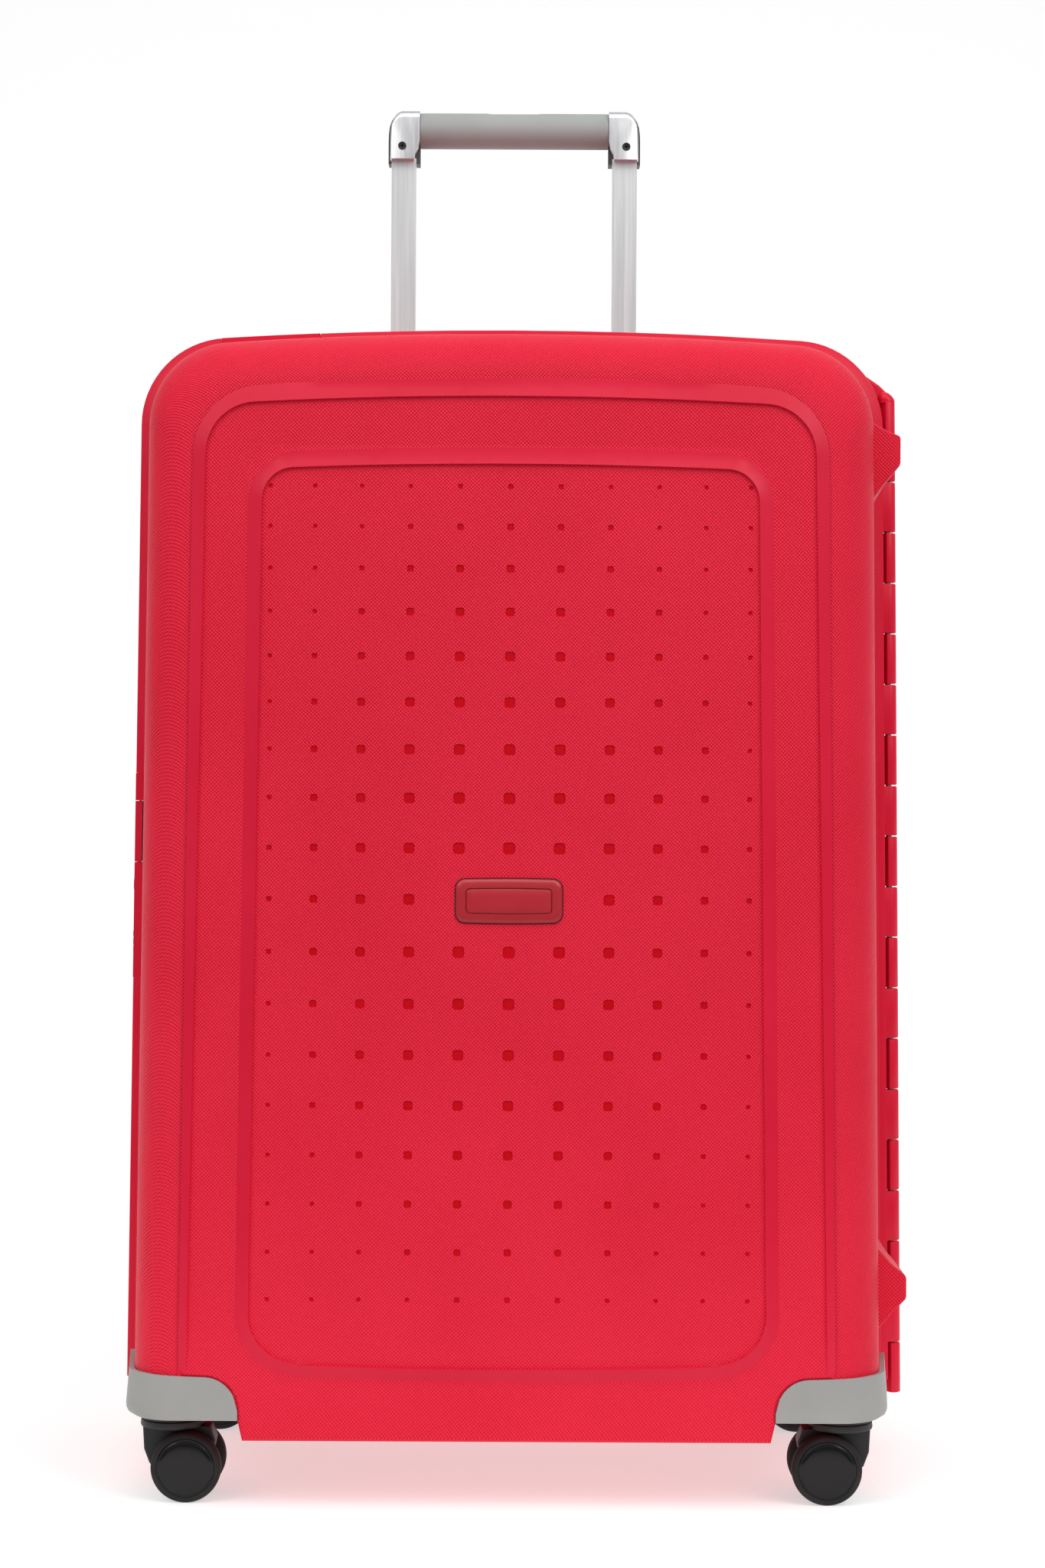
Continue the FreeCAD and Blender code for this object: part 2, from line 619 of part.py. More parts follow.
def carry_handle(name, placement, wall_block):
    """A folding handle on two mounts. Local frame: pivot along X, outwards is +Z."""
    reach, half, bar = "dims.handle_reach", "dims.handle_half", "dims.handle_bar"
    solids = [cylinder(f"{name}_bar", (f"-{half}", reach, 0), "x", bar, f"2 * {half}")]
    bores = []
    mounts = []
    pins = []
    for sign in (-1, 1):
        solids.append(signed_box(f"{name}_arm_{sign + 1}", sign, 1, (f"{half} - dims.handle_arm", -5.5, -5),
                                 (half, reach, 5)))
        start = f"{half} - dims.handle_arm" if sign > 0 else f"-{half} - dims.mount_length"
        length = "dims.handle_arm + dims.mount_length"
        pins.append(cylinder(f"{name}_pin_{sign + 1}", (start, 0, 0), "x", "dims.handle_pin", length))
        bores.append(cylinder(f"{name}_bore_{sign + 1}", (f"{start} - 1", 0, 0), "x",
                              "dims.handle_pin + dims.running_fit", f"{length} + 2"))
        mounts.append(signed_box(f"{name}_mount_{sign + 1}", sign, 1, (f"{half} + 0.5", -9, -16),
                                 (f"{half} + dims.mount_length", 9, 6)))
    keep(name, cut(name, fuse(f"{name}_stock", *solids), *bores), placement)
    pair = group(f"{name}_pins", *pins)
    pair.Placement = placement
    blocks = fuse(f"{name}_blocks", *mounts)
    blocks.Placement = placement
    return cut(f"{name}_mounts", blocks, wall_block, pair), pair


def handles(core):
    """The folding handles on the top and on the latch side."""
    top_place = FreeCAD.Placement(V(0, dim("handle_y"), dim("handle_up")), FreeCAD.Rotation())
    side_place = FreeCAD.Placement(V(-dim("handle_out"), dim("handle_y"), dim("handle_z")),
                                   FreeCAD.Rotation(V(0, 1, 0), -90))
    top_mounts, top_pins = carry_handle("top_handle", top_place, core["rear_wall"])
    side_mounts, side_pins = carry_handle("side_handle", side_place, core["rear_wall"])
    keep("handle_mounts", group("handle_mounts", top_mounts, side_mounts))
    keep("handle_pins", group("handle_pins", top_pins, side_pins))


# ---- the telescopic handle ----

def tube_stock(name, sign, grow, foot, top):
    """A solid bar of the inner tube's section, grown all round."""
    return box(name, (f"{sign} * dims.tube_x - dims.inner_wide / 2 - ({grow})",
                      f"dims.tube_y - dims.inner_deep / 2 - ({grow})", foot),
               (f"{sign} * dims.tube_x + dims.inner_wide / 2 + ({grow})",
                f"dims.tube_y + dims.inner_deep / 2 + ({grow})", top))


def trolley_fixed():
    """Outer tubes, the base that holds them and the housing at the top."""
    outer = "dims.tube_gap + dims.tube_wall"
    tubes = []
    sockets = []
    bores = []
    for sign in (-1, 1):
        stock = tube_stock(f"outer_{sign + 1}", sign, outer, "dims.channel_foot + 4", "dims.housing_low")
        bore = tube_stock(f"outer_bore_{sign + 1}", sign, "dims.tube_gap", 0, PAST)
        tubes.append(cut(f"outer_tube_{sign + 1}", stock, bore))
        sockets.append(tube_stock(f"socket_{sign + 1}", sign, outer, "dims.channel_foot + 4", PAST))
        bores.append(bore)
    keep("trolley_outer_tubes", group("trolley_outer_tubes", *tubes))
    base = box("base_stock", ("-dims.channel_wide", "dims.channel_y", "dims.channel_foot"),
               ("dims.channel_wide", "dims.channel_y + 24.5", "dims.base_top"))
    keep("trolley_base", cut("trolley_base", base, *sockets))
    housing = box("housing_stock", ("-dims.channel_wide", "dims.channel_y", "dims.housing_low"),
                  ("dims.channel_wide", "dims.channel_y + 25", "dims.housing_high"))
    keep("trolley_top_housing", cut("trolley_top_housing", housing, *bores))


def trolley_moving():
    """Inner tubes, brackets, grip and the push-button release."""
    tubes = []
    rods = []
    screws = []
    foot = "dims.inner_top - dims.inner_length"
    axis_z = "dims.grip_top - dims.grip_radius"
    for sign, hand in ((-1, "left"), (1, "right")):
        stock = tube_stock(f"inner_{hand}", sign, "0", foot, "dims.inner_top")
        bore = tube_stock(f"inner_bore_{hand}", sign, "-dims.tube_wall", 0, PAST)
        start = "dims.tube_x + 2.8" if sign > 0 else "-dims.tube_x - dims.inner_wide / 2 + 0.1"
        length = "dims.inner_wide / 2 - 2.9"
        keep(f"lock_pin_{hand}", cylinder(f"lock_pin_{hand}", (start, "dims.tube_y", f"{foot} + 10"), "x",
                                          "dims.lock_pin", length))
        start = "dims.tube_x" if sign > 0 else "-dims.tube_x - dims.inner_wide"
        slot = cylinder(f"pin_slot_{hand}", (start, "dims.tube_y", f"{foot} + 10"), "x",
                        "dims.lock_pin + 0.3", "dims.inner_wide")
        tubes.append(cut(f"inner_tube_{hand}", stock, bore, slot))
        rods.append(cylinder(f"rod_{hand}", (f"{sign} * dims.tube_x", "dims.tube_y", f"{foot} + 18"), "z",
                             "dims.rod_radius", "dims.inner_length - 26"))
        screws.append(bracket(sign, hand, stock))
    keep("trolley_inner_tubes", group("trolley_inner_tubes", *tubes))
    keep("release_rods", group("release_rods", *rods))
    half = "(dims.trolley_width / 2 - dims.bracket_wide)"
    solid = cylinder("grip_solid", (f"-{half}", "dims.tube_y", axis_z), "x", "dims.grip_radius",
                     f"2 * {half}")
    bore = cylinder("grip_hollow", (f"-{half} - 1", "dims.tube_y", axis_z), "x", "dims.grip_bore",
                    f"2 * {half} + 2")
    slot = box("grip_slot", ("-dims.push_long / 2 - 0.3", "dims.tube_y - dims.push_wide / 2 - 0.3", axis_z),
               ("dims.push_long / 2 + 0.3", "dims.tube_y + dims.push_wide / 2 + 0.3", "dims.grip_top + 1"))
    keep("grip_tube", cut("grip_tube", solid, bore, slot))
    push = box("push_stock", ("-dims.push_long / 2", "dims.tube_y - dims.push_wide / 2", f"{axis_z} + 6"),
               ("dims.push_long / 2", "dims.tube_y + dims.push_wide / 2", "dims.grip_top + 1"))
    keep("grip_button", common("grip_button", push, solid))
    keep("bracket_screws", group("bracket_screws", *screws))


def bracket(sign, hand, tube):
    """End bracket between a tube and the grip, with one screw in its front."""
    inner = "dims.trolley_width / 2 - dims.bracket_wide"
    front, back = "dims.tube_y - dims.bracket_deep / 2", "dims.tube_y + dims.bracket_deep / 2"
    block = signed_box(f"bracket_block_{hand}", sign, 1, (inner, front, "dims.grip_top - dims.bracket_tall"),
                       (f"{inner} + dims.bracket_wide", back, "dims.grip_top"))
    round_side = cylinder(f"bracket_round_{hand}", (f"{sign} * ({inner})", 0,
                                                    "dims.grip_top - dims.bracket_tall / 2"),
                          "y", "dims.bracket_wide", PAST)
    start = (f"{sign} * dims.tube_x", f"{front} + 0.8", "dims.grip_top - dims.bracket_tall + 9")
    screw = cylinder(f"screw_{hand}", start, "y", "dims.screw_radius", 2)
    recess = cylinder(f"screw_recess_{hand}", (start[0], f"{start[1]} - 5", start[2]), "y",
                      "dims.screw_radius", 7)
    stock = common(f"bracket_stock_{hand}", block, round_side)
    keep(f"grip_bracket_{hand}", cut(f"grip_bracket_{hand}", stock, tube, recess))
    return screw


# ---- the casters ----

def caster(tag, sign_x, sign_y):
    """A twin-wheel caster: body with turning plate and stem, axle, tyres and hub discs."""
    wheel_x = f"{sign_x} * (dims.swivel_x - dims.trail)"
    swivel_x = f"{sign_x} * dims.swivel_x"
    middle = f"{sign_y} * dims.swivel_y"
    start = (wheel_x, f"{middle} - dims.wheel_outer + 2.5", "dims.wheel_radius")
    axle = cylinder(f"caster_axle_{tag}", start, "y", "dims.axle_radius", "2 * dims.wheel_outer - 5")
    keep(f"caster_axle_{tag}", axle)
    core = cylinder(f"fork_core_{tag}", (wheel_x, f"{middle} - dims.fork_half", "dims.wheel_radius"), "y",
                    "dims.wheel_radius - 5", "2 * dims.fork_half")
    fender = signed_box(f"fender_{tag}", sign_x, sign_y,
                        ("dims.swivel_x - dims.trail - 12", "dims.swivel_y - dims.fork_half",
                         "dims.wheel_radius - 4"),
                        ("dims.swivel_x + 15", "dims.swivel_y + dims.fork_half", "dims.plate_low + 1"))
    plate = cylinder(f"turning_plate_{tag}", (swivel_x, middle, "dims.plate_low"), "z", "dims.plate_radius",
                     "dims.plate_high - dims.plate_low")
    stem = cylinder(f"stem_{tag}", (swivel_x, middle, "dims.plate_high - 1"), "z", "dims.stem_radius",
                    "dims.well_top - dims.plate_high + 0.5")
    stock = fuse(f"fork_{tag}", core, fender, plate, stem)
    keep(f"caster_fork_{tag}", cut(f"caster_fork_{tag}", stock, axle))
    tyres = []
    discs = []
    bore = cylinder(f"hub_bore_{tag}", (wheel_x, f"{middle} - dims.wheel_outer + 2.2", "dims.wheel_radius"),
                    "y", "dims.axle_radius + dims.running_fit", "2 * dims.wheel_outer - 4.4")
    for side in (-1, 1):
        disc_start = "dims.wheel_inner" if side > 0 else "-dims.wheel_outer"
        disc = cylinder(f"disc_{tag}_{side + 1}", (wheel_x, f"{middle} + {disc_start}", "dims.wheel_radius"),
                        "y", "dims.hub_radius", "dims.wheel_outer - dims.wheel_inner")
        tyre_start = "dims.wheel_inner + 0.2" if side > 0 else "-dims.tyre_outer"
        ring = cylinder(f"ring_{tag}_{side + 1}", (wheel_x, f"{middle} + {tyre_start}", "dims.wheel_radius"),
                        "y", "dims.wheel_radius", "dims.tyre_outer - dims.wheel_inner - 0.2")
        discs.append(cut(f"hub_{tag}_{side + 1}", disc, bore))
        tyres.append(cut(f"tyre_{tag}_{side + 1}", ring, disc))
    keep(f"caster_hubs_{tag}", group(f"caster_hubs_{tag}", *discs))
    keep(f"caster_tyres_{tag}", group(f"caster_tyres_{tag}", *tyres))


def caster_seats(side):
    """The two fixed housings that the caster stems turn in."""
    end = "front" if side == FRONT else "rear"
    seats = []
    for sign in (-1, 1):
        centre = (f"{sign} * dims.swivel_x", f"{side} * dims.swivel_y")
        seat = cylinder(f"{end}_seat_{sign + 1}", (*centre, "dims.seat_low"), "z", "dims.plate_radius + 1",
                        "dims.well_top - dims.seat_low")
        hole = cylinder(f"{end}_seat_hole_{sign + 1}", (*centre, "dims.seat_low - 1"), "z",
                        "dims.stem_radius + dims.running_fit", "dims.well_top - dims.seat_low + 0.5")
        seats.append(cut(f"{end}_seat_cut_{sign + 1}", seat, hole))
    keep(f"{end}_caster_housings", group(f"{end}_caster_housings", *seats))


def closed_case(name, front_grow, rear_grow):
    """Both shells' walls as one solid that ends at the case floor."""
    halves = [blank(f"{name}_front", FRONT, front_grow), blank(f"{name}_rear", REAR, rear_grow)]
    floor = f"dims.case_floor - ({front_grow})"
    under = box(f"{name}_under", (-PAST, -PAST, 0), (PAST, PAST, floor))
    return cut(name, fuse(f"{name}_pair", *halves), under)


def build():
    """Every sub-part of the suitcase."""
    core = {"rim": rim_block(), "rear_wall": blank("rear_wall", REAR, "0")}
    core["walls"] = closed_case("walls", "0", "0")
    core["lifted"] = closed_case("lifted_walls", "dims.latch_lift", "dims.latch_lift")
    core["seat"] = closed_case("seat_walls", "dims.lining_gap", "0")
    half = (dim("latch_end") - dim("latch_start")) / 2 + 2
    core["pins"] = {latch: latch_pin(f"{latch}_pin", latch, "dims.latch_pin", half)
                    for latch in ("top", "bottom")}
    half = (dim("lever_high") - dim("lever_low")) / 2 + 2
    core["pins"]["center"] = latch_pin("center_pin", "center", "dims.latch_pin", half)
    core["windows"] = latch_windows(core)
    length = f"{KNUCKLES} * dims.knuckle_pitch + dims.cap_length - 10"
    core["hinge_pin"] = keep("hinge_pin", hinge_bar("hinge_pin", "dims.pin_radius", "1", length))
    for side in (FRONT, REAR):
        shell(side, core)
        lining(side)
        caster_seats(side)
    badge()
    divider()
    ribbons()
    latches(core)
    lock(core)
    handles(core)
    trolley_fixed()
    trolley_moving()
    for tag, sign_x, sign_y in (("fl", -1, -1), ("fr", 1, -1), ("rl", -1, 1), ("rr", 1, 1)):
        caster(tag, sign_x, sign_y)


def check():
    """Stop on any failed object, and on any sub-part that is empty or broken."""
    doc.recompute()
    failed = [item.Name for item in doc.Objects if {"Invalid", "Error"} & set(item.State)]
    if failed:
        raise RuntimeError(f"failed objects: {failed}")
    for name, solid in nodes.items():
        if solid.Shape.isNull() or not solid.Shape.isValid() or not solid.Shape.Solids:
            raise RuntimeError(f"{name} has no valid solid")
    lining_volume = nodes["front_lining"].Shape.Volume
    shell_volume = nodes["front_shell"].Shape.Volume
    if not lining_volume < shell_volume < 3e6:
        raise RuntimeError("the front shell isn't hollow")


build()
check()
os.makedirs("parts", exist_ok=True)
for node, solid in nodes.items():
    solid.Shape.exportStep(f"parts/{node}.step")
    count = len(solid.Shape.Solids)
    print(f"{node}: {count} solid(s), {solid.Shape.Volume / 1000:.1f} cm3")
print(f"{len(nodes)} nodes")
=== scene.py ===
"""Looks of the upright hard-shell suitcase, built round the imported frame.

Shapes are given in millimetres and made in metres.
"""
import math
import bmesh
import bpy
import numpy as np
from mathutils import Matrix, Vector
from mathutils.geometry import delaunay_2d_cdt


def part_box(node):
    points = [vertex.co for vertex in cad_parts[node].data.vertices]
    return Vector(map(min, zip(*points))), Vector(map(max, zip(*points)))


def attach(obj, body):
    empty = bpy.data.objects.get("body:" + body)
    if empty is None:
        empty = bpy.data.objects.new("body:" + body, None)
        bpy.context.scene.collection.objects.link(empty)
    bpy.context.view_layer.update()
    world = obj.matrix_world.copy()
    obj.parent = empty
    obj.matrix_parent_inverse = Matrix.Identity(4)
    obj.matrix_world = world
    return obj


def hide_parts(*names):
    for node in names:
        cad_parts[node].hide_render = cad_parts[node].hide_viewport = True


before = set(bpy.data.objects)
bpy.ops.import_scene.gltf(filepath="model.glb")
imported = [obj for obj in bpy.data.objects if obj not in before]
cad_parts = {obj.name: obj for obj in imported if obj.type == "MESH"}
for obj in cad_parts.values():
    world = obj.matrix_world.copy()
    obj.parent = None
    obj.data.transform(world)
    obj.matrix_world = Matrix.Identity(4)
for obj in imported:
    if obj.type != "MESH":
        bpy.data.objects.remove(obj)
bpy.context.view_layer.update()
MM = 0.001
FRONT = -1
REAR = 1
END = {FRONT: "front", REAR: "rear"}

# ---- the case's form, in millimetres: walls stand RIM_PROUD inside the rim ----
RIM_PROUD = 5.5
RIM_REACH = 9.0
HALF_LOW = 247.0
HALF_HIGH = 239.5
SIDE_FOOT = 18.0
CREST = 744.0
SAG = 10.0
CORNER = 52.5
FACE_CORNER = 44.0
DEPTH = 149.5
DRAFT = math.radians(6.5)
FACE_ROUND = 30.0
FLOOR = 43.0
WELL_X, WELL_Y, WELL_TOP = 166.0, 64.0, 56.0
CHANNEL_X, CHANNEL_Y, CHANNEL_FOOT = 98.0, 123.0, 62.0
HINGE_OUT = 3.2
HINGE_LEAN = math.radians(0.6)
HINGE_LOW = 46.0
PITCH = 33.6
KNUCKLES = 18
KNUCKLE_GAP = 0.8
KNUCKLE_RADIUS = 5.5
KNUCKLE_ROUND = 0.7
KNUCKLE_DEPTH = 5.6
CAP_LENGTH = 54.0
LATCH_X = (-193.0, -127.0)
LOCK_Z = (320.0, 455.0)
WALL = 2.2
LINING_INSET = 3.0
MIDDLE_Z = 390.0


# ---- meshes ----

def clamped(value):
    """The value held between 0 and 1."""
    return min(1.0, max(0.0, value))


def add_object(name, data):
    """An object of this data, in the scene."""
    made = bpy.data.objects.new(name, data)
    bpy.context.scene.collection.objects.link(made)
    return made


def new_object(name, vertices, faces, materials, smooth=30, indices=None):
    """A mesh object from millimetre vertices, smooth except at sharp edges."""
    mesh = bpy.data.meshes.new(name)
    mesh.from_pydata([tuple(value * MM for value in vertex) for vertex in vertices], [], faces)
    for material in materials:
        mesh.materials.append(material)
    if indices is not None:
        mesh.polygons.foreach_set("material_index", indices)
    piece = add_object(name, mesh)
    tidy(piece, smooth)
    return piece


def tidy(piece, smooth):
    """Merge doubled points, drop flat slivers, turn the faces outwards and mark sharp edges."""
    work = bmesh.new()
    work.from_mesh(piece.data)
    bmesh.ops.remove_doubles(work, verts=work.verts, dist=0.00002)
    bmesh.ops.dissolve_degenerate(work, edges=work.edges, dist=0.00001)
    bmesh.ops.recalc_face_normals(work, faces=work.faces)
    work.to_mesh(piece.data)
    work.free()
    piece.data.polygons.foreach_set("use_smooth", [True] * len(piece.data.polygons))
    piece.data.set_sharp_from_angle(angle=math.radians(smooth))


def bevel(piece, width, segments=3, angle=35):
    """Round a piece's edges; the modifier keeps the mesh under it as it is."""
    change = piece.modifiers.new("edges", "BEVEL")
    change.width = width * MM
    change.segments = segments
    change.limit_method = "ANGLE"
    change.angle_limit = math.radians(angle)
    change.harden_normals = True
    return change


def thicken(piece, thickness, offset=0):
    """Give a surface a thickness, to both sides unless offset says otherwise."""
    change = piece.modifiers.new("thickness", "SOLIDIFY")
    change.thickness = thickness * MM
    change.offset = offset


def flattened(rows):
    """The points of several rows in one list."""
    return [point for row in rows for point in row]


def strips(rows, around=True, ends_meet=False):
    """Quads between neighbouring rows. around closes each row, ends_meet joins the last to the first."""
    count = len(rows[0])
    faces = []
    for row in range(len(rows) if ends_meet else len(rows) - 1):
        here, there = row * count, (row + 1) % len(rows) * count
        for i in range(count if around else count - 1):
            j = (i + 1) % count
            faces.append([here + i, here + j, there + j, there + i])
    return faces


def surface(name, rows, materials, smooth, around=True, ends_meet=False):
    """Rows of points joined into a surface."""
    return new_object(name, flattened(rows), strips(rows, around, ends_meet), materials, smooth)


def loft(name, loops, materials, smooth=40, start_cap=True):
    """Closed loops of points joined into one solid, capped at its end and, as a rule, its start."""
    count = len(loops[0])
    vertices = flattened(loops)
    caps = [list(range(len(vertices) - count, len(vertices)))]
    if start_cap:
        caps.insert(0, list(range(count))[::-1])
    return new_object(name, vertices, caps + strips(loops), materials, smooth)


def prism(name, outline, axis, start, end, materials, round_edges=0.0, smooth=40):
    """An outline, given in the two other axes in order, drawn out along one axis."""
    loops = []
    for level in (start, end):
        loop = [list(pair) for pair in outline]
        for point in loop:
            point.insert("xyz".index(axis), level)
        loops.append(loop)
    piece = loft(name, loops, materials, smooth)
    if round_edges:
        bevel(piece, round_edges)
    return piece


def merged(parts):
    """Several (vertices, faces) as one."""
    vertices = []
    faces = []
    for more_vertices, more_faces in parts:
        faces += [[len(vertices) + i for i in face] for face in more_faces]
        vertices += more_vertices
    return vertices, faces


def flat_fill(border, y):
    """Triangles that fill a closed ring, all at one depth: (vertices, faces)."""
    corners = [Vector((x, z)) for x, _, z in border]
    edges = [(i, (i + 1) % len(corners)) for i in range(len(corners))]
    flat, _, triangles, _, _, _ = delaunay_2d_cdt(corners, edges, [], 1, 0.001)
    return [(x, y, z) for x, z in flat], triangles


def lathe(name, profile, centre, axis, materials, steps=96, smooth=35):
    """A profile of (distance along the axis, radius) turned round the axis."""
    rows = []
    for step in range(steps):
        turn = 2 * math.pi * step / steps
        row = []
        for along, radius in profile:
            spot = [radius * math.cos(turn), radius * math.sin(turn)]
            spot.insert("xyz".index(axis), along)
            row.append([centre[i] + spot[i] for i in range(3)])
        rows.append(row)
    return surface(name, rows, materials, smooth, around=False, ends_meet=True)


def arc(centre, radius, start, end, steps):
    """Points on a circle from one angle to another, in degrees."""
    points = []
    for step in range(steps + 1):
        turn = math.radians(start + (end - start) * step / steps)
        points.append((centre[0] + radius * math.cos(turn), centre[1] + radius * math.sin(turn)))
    return points


def corner_arcs(wide, tall, turn, steps, centre=(0, 0)):
    """The four corners of a rounded rectangle, anticlockwise from the upper right."""
    corners = []
    for quarter, (sign_x, sign_z) in enumerate(((1, 1), (-1, 1), (-1, -1), (1, -1))):
        middle = (centre[0] + sign_x * (wide / 2 - turn), centre[1] + sign_z * (tall / 2 - turn))
        corners.append(arc(middle, turn, 90 * quarter, 90 * quarter + 90, steps))
    return corners


def rounded_bar(wide, tall, turn):
    """A rounded rectangle round the origin."""
    return flattened(corner_arcs(wide, tall, turn, 8))


def joined(name, pieces):
    """Several objects as one."""
    for piece in pieces:
        for change in list(piece.modifiers):
            with bpy.context.temp_override(object=piece, active_object=piece):
                bpy.ops.object.modifier_apply(modifier=change.name)
    first = pieces[0]
    with bpy.context.temp_override(active_object=first, object=first, selected_objects=pieces,
                                   selected_editable_objects=pieces):
        bpy.ops.object.join()
    first.name = name
    first.data.name = name
    return first


def place(piece, body, slot, *nodes):
    """Ride on a body and stand for the named nodes; slot is not used."""
    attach(piece, body)
    if nodes:
        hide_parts(*nodes)
    return piece


# ---- outlines: straight sides that lean in, a shallow arch on top and rounded corners ----

def outline_form(low, high, side_foot, crest, sag, corner):
    """Centres and radii of a leaning outline with an arched top."""
    shoulder = crest - sag
    lean = (high - low) / (shoulder - side_foot)
    arch = (high ** 2 + sag ** 2) / (2 * sag)
    stretch = math.hypot(1, lean)
    centre_z = shoulder - corner
    for _ in range(20):
        centre_x = low + lean * (centre_z - side_foot) - corner * stretch
        centre_z = crest - arch + math.sqrt((arch - corner) ** 2 - centre_x ** 2)
    return {"low": low, "lean": lean, "side_foot": side_foot, "crest": crest, "arch": arch,
            "corner": corner, "centre": (centre_x, centre_z), "side_angle": math.atan(-lean),
            "top_angle": math.atan2(centre_z - crest + arch, centre_x)}


def wall_form(inset, corner):
    """The wall's outline, inset inwards."""
    return outline_form(HALF_LOW - inset, HALF_HIGH - inset, SIDE_FOOT, CREST - inset, SAG, corner)


def side_x(form, z):
    return form["low"] + form["lean"] * (z - form["side_foot"])


def top_z(form, x):
    return form["crest"] - form["arch"] + math.sqrt(form["arch"] ** 2 - x * x)


def corner_point(form, share):
    """A point on the right-hand corner, from the side at 0 to the top at 1."""
    turn = form["side_angle"] + share * (form["top_angle"] - form["side_angle"])
    centre_x, centre_z = form["centre"]
    return centre_x + form["corner"] * math.cos(turn), centre_z + form["corner"] * math.sin(turn)


STEP = 0.12
KNUCKLE_ENDS = [HINGE_LOW + index * PITCH for index in range(KNUCKLES + 1)]
KNUCKLE_ENDS.append(HINGE_LOW + KNUCKLES * PITCH + CAP_LENGTH)
CORNER_SHARES = [step / 16 for step in range(17)]
LATCH_SHARE = 0.982


def with_steps(values):
    """Each value twice, a hair apart, so that a step between them is steep."""
    return [value + sign * STEP for value in values for sign in (-1, 1)]


def ring_marks():
    """Where the points of every ring lie: ('part', position) pairs, anticlockwise from bottom left."""
    floor = sorted([-230, -210, -165.9, -163, -60, 0, 60, 163, 165.9, 210, 230] + with_steps(LATCH_X))
    marks = [("floor", value) for value in floor]
    right = sorted(with_steps(KNUCKLE_ENDS[1:]) + [56, 90])
    marks += [("right", value) for value in right]
    marks += [("right_corner", share) for share in CORNER_SHARES]
    marks += [("top", value) for value in (140, 120, 108, 98.02)]
    marks += [("channel", value) for value in (98, 70, 40, 0, -40, -70, -98)]
    latch_end = sorted(with_steps(LATCH_X[1:]), reverse=True)
    marks += [("top", value) for value in (-98.02, -108, *latch_end, -140)]
    shares = sorted(CORNER_SHARES[:-1] + [LATCH_SHARE - 0.003, LATCH_SHARE + 0.003], reverse=True)
    marks += [("left_corner", 1.0)] + [("left_corner", share) for share in shares]
    left = sorted(with_steps(LOCK_Z) + [56, 90, 130, 170, 210, 250, 290, 360, 400, 490, 530, 570, 610, 650],
                  reverse=True)
    marks += [("left", value) for value in left]
    return marks


MARKS = ring_marks()
SIDE_TOP = 690.0


def ring(form, floor, well_top, channel_foot, inset=0.0, toe=0.0):
    """The ring's (x, z) points. A channel_foot of None leaves the top whole."""
    side_end = corner_point(form, 0)[1]
    points = []
    for part, value in MARKS:
        if part == "floor":
            edge = side_x(form, floor)
            x = max(-edge + 0.001, min(edge - 0.001, value * (1 - inset / 400)))
            inside = abs(value) < 164
            if 162 < abs(value) < 167:
                x = math.copysign(WELL_X - inset - (3 if inside else 0), value)
            points.append((x, floor if inside else well_top))
        elif part in ("left", "right"):
            z = value if value < 600 else 600 + (value - 600) * (side_end - 600) / (SIDE_TOP - 600)
            z = min(max(z, well_top), side_end)
            x = side_x(form, z)
            points.append((x if part == "right" else -x, z))
        elif part in ("left_corner", "right_corner"):
            x, z = corner_point(form, value)
            points.append((x if part == "right_corner" else -x, z))
        elif part == "top":
            wide = corner_point(form, 1)[0]
            moved = value + math.copysign(inset, value) if abs(value) < 99 else value
            x = max(-wide, min(wide, moved))
            points.append((x, top_z(form, x)))
        else:
            x = value * (CHANNEL_X + inset) / CHANNEL_X
            points.append((x, top_z(form, x) if channel_foot is None else channel_foot))
    return points


def section(inset):
    """Steps (ring inset, depth, corner radius) from the rim to the face, for a skin inset inwards."""
    depth = DEPTH - inset
    bend = FACE_ROUND - inset
    steps = []
    centre_depth = depth - bend
    centre_in = centre_depth * math.tan(DRAFT) + bend / math.cos(DRAFT)
    edges = [11.0, 40.0, WELL_Y - inset - 0.01, WELL_Y - inset + 0.01, 92.0]
    for here in edges:
        steps.append((inset + here * math.tan(DRAFT), here, CORNER - inset))
    turn_steps = 14
    for step in range(turn_steps + 1):
        turn = DRAFT + (math.pi / 2 - DRAFT) * step / turn_steps
        here = centre_depth + bend * math.sin(turn)
        share = (step / turn_steps) ** 1.5
        corner = (CORNER + (FACE_CORNER - CORNER) * share) - inset
        steps.append((inset + centre_in - bend * math.cos(turn), here, corner))
    return steps


def skin_rings(side, inset, start=0.0):
    """Rings of a drafted skin, each a list of (x, y, z)."""
    rings = []
    channel_at = CHANNEL_Y - inset
    steps = [step for step in section(inset) if step[1] >= start]
    if side == REAR:
        before = max(step for step in steps if step[1] < channel_at)
        after = min((step for step in steps if step[1] > channel_at), key=lambda step: step[1])
        share = (channel_at - before[1]) / (after[1] - before[1])
        middle = [a + (b - a) * share for a, b in zip(before, after)]
        where = steps.index(after)
        steps[where:where] = [(middle[0], channel_at + gap, middle[2]) for gap in (-0.01, 0.01)]
    foot_round = 4.0
    for ring_inset, here, corner in steps:
        form = wall_form(ring_inset, corner)
        beyond = here - (DEPTH - inset - foot_round)
        lift = foot_round - math.sqrt(max(0.0, foot_round ** 2 - beyond ** 2)) if beyond > 0 else 0.0
        deep = here > WELL_Y - inset
        floor = FLOOR + inset + lift
        well_top = (WELL_TOP + inset + lift) if deep else floor
        channel = CHANNEL_FOOT - inset if side == REAR and here > channel_at else None
        points = ring(form, floor, well_top, channel, inset)
        rings.append([(x, side * here, z) for x, z in points])
    return rings


# ---- the rim: an outward offset of the wall, with its recesses ----

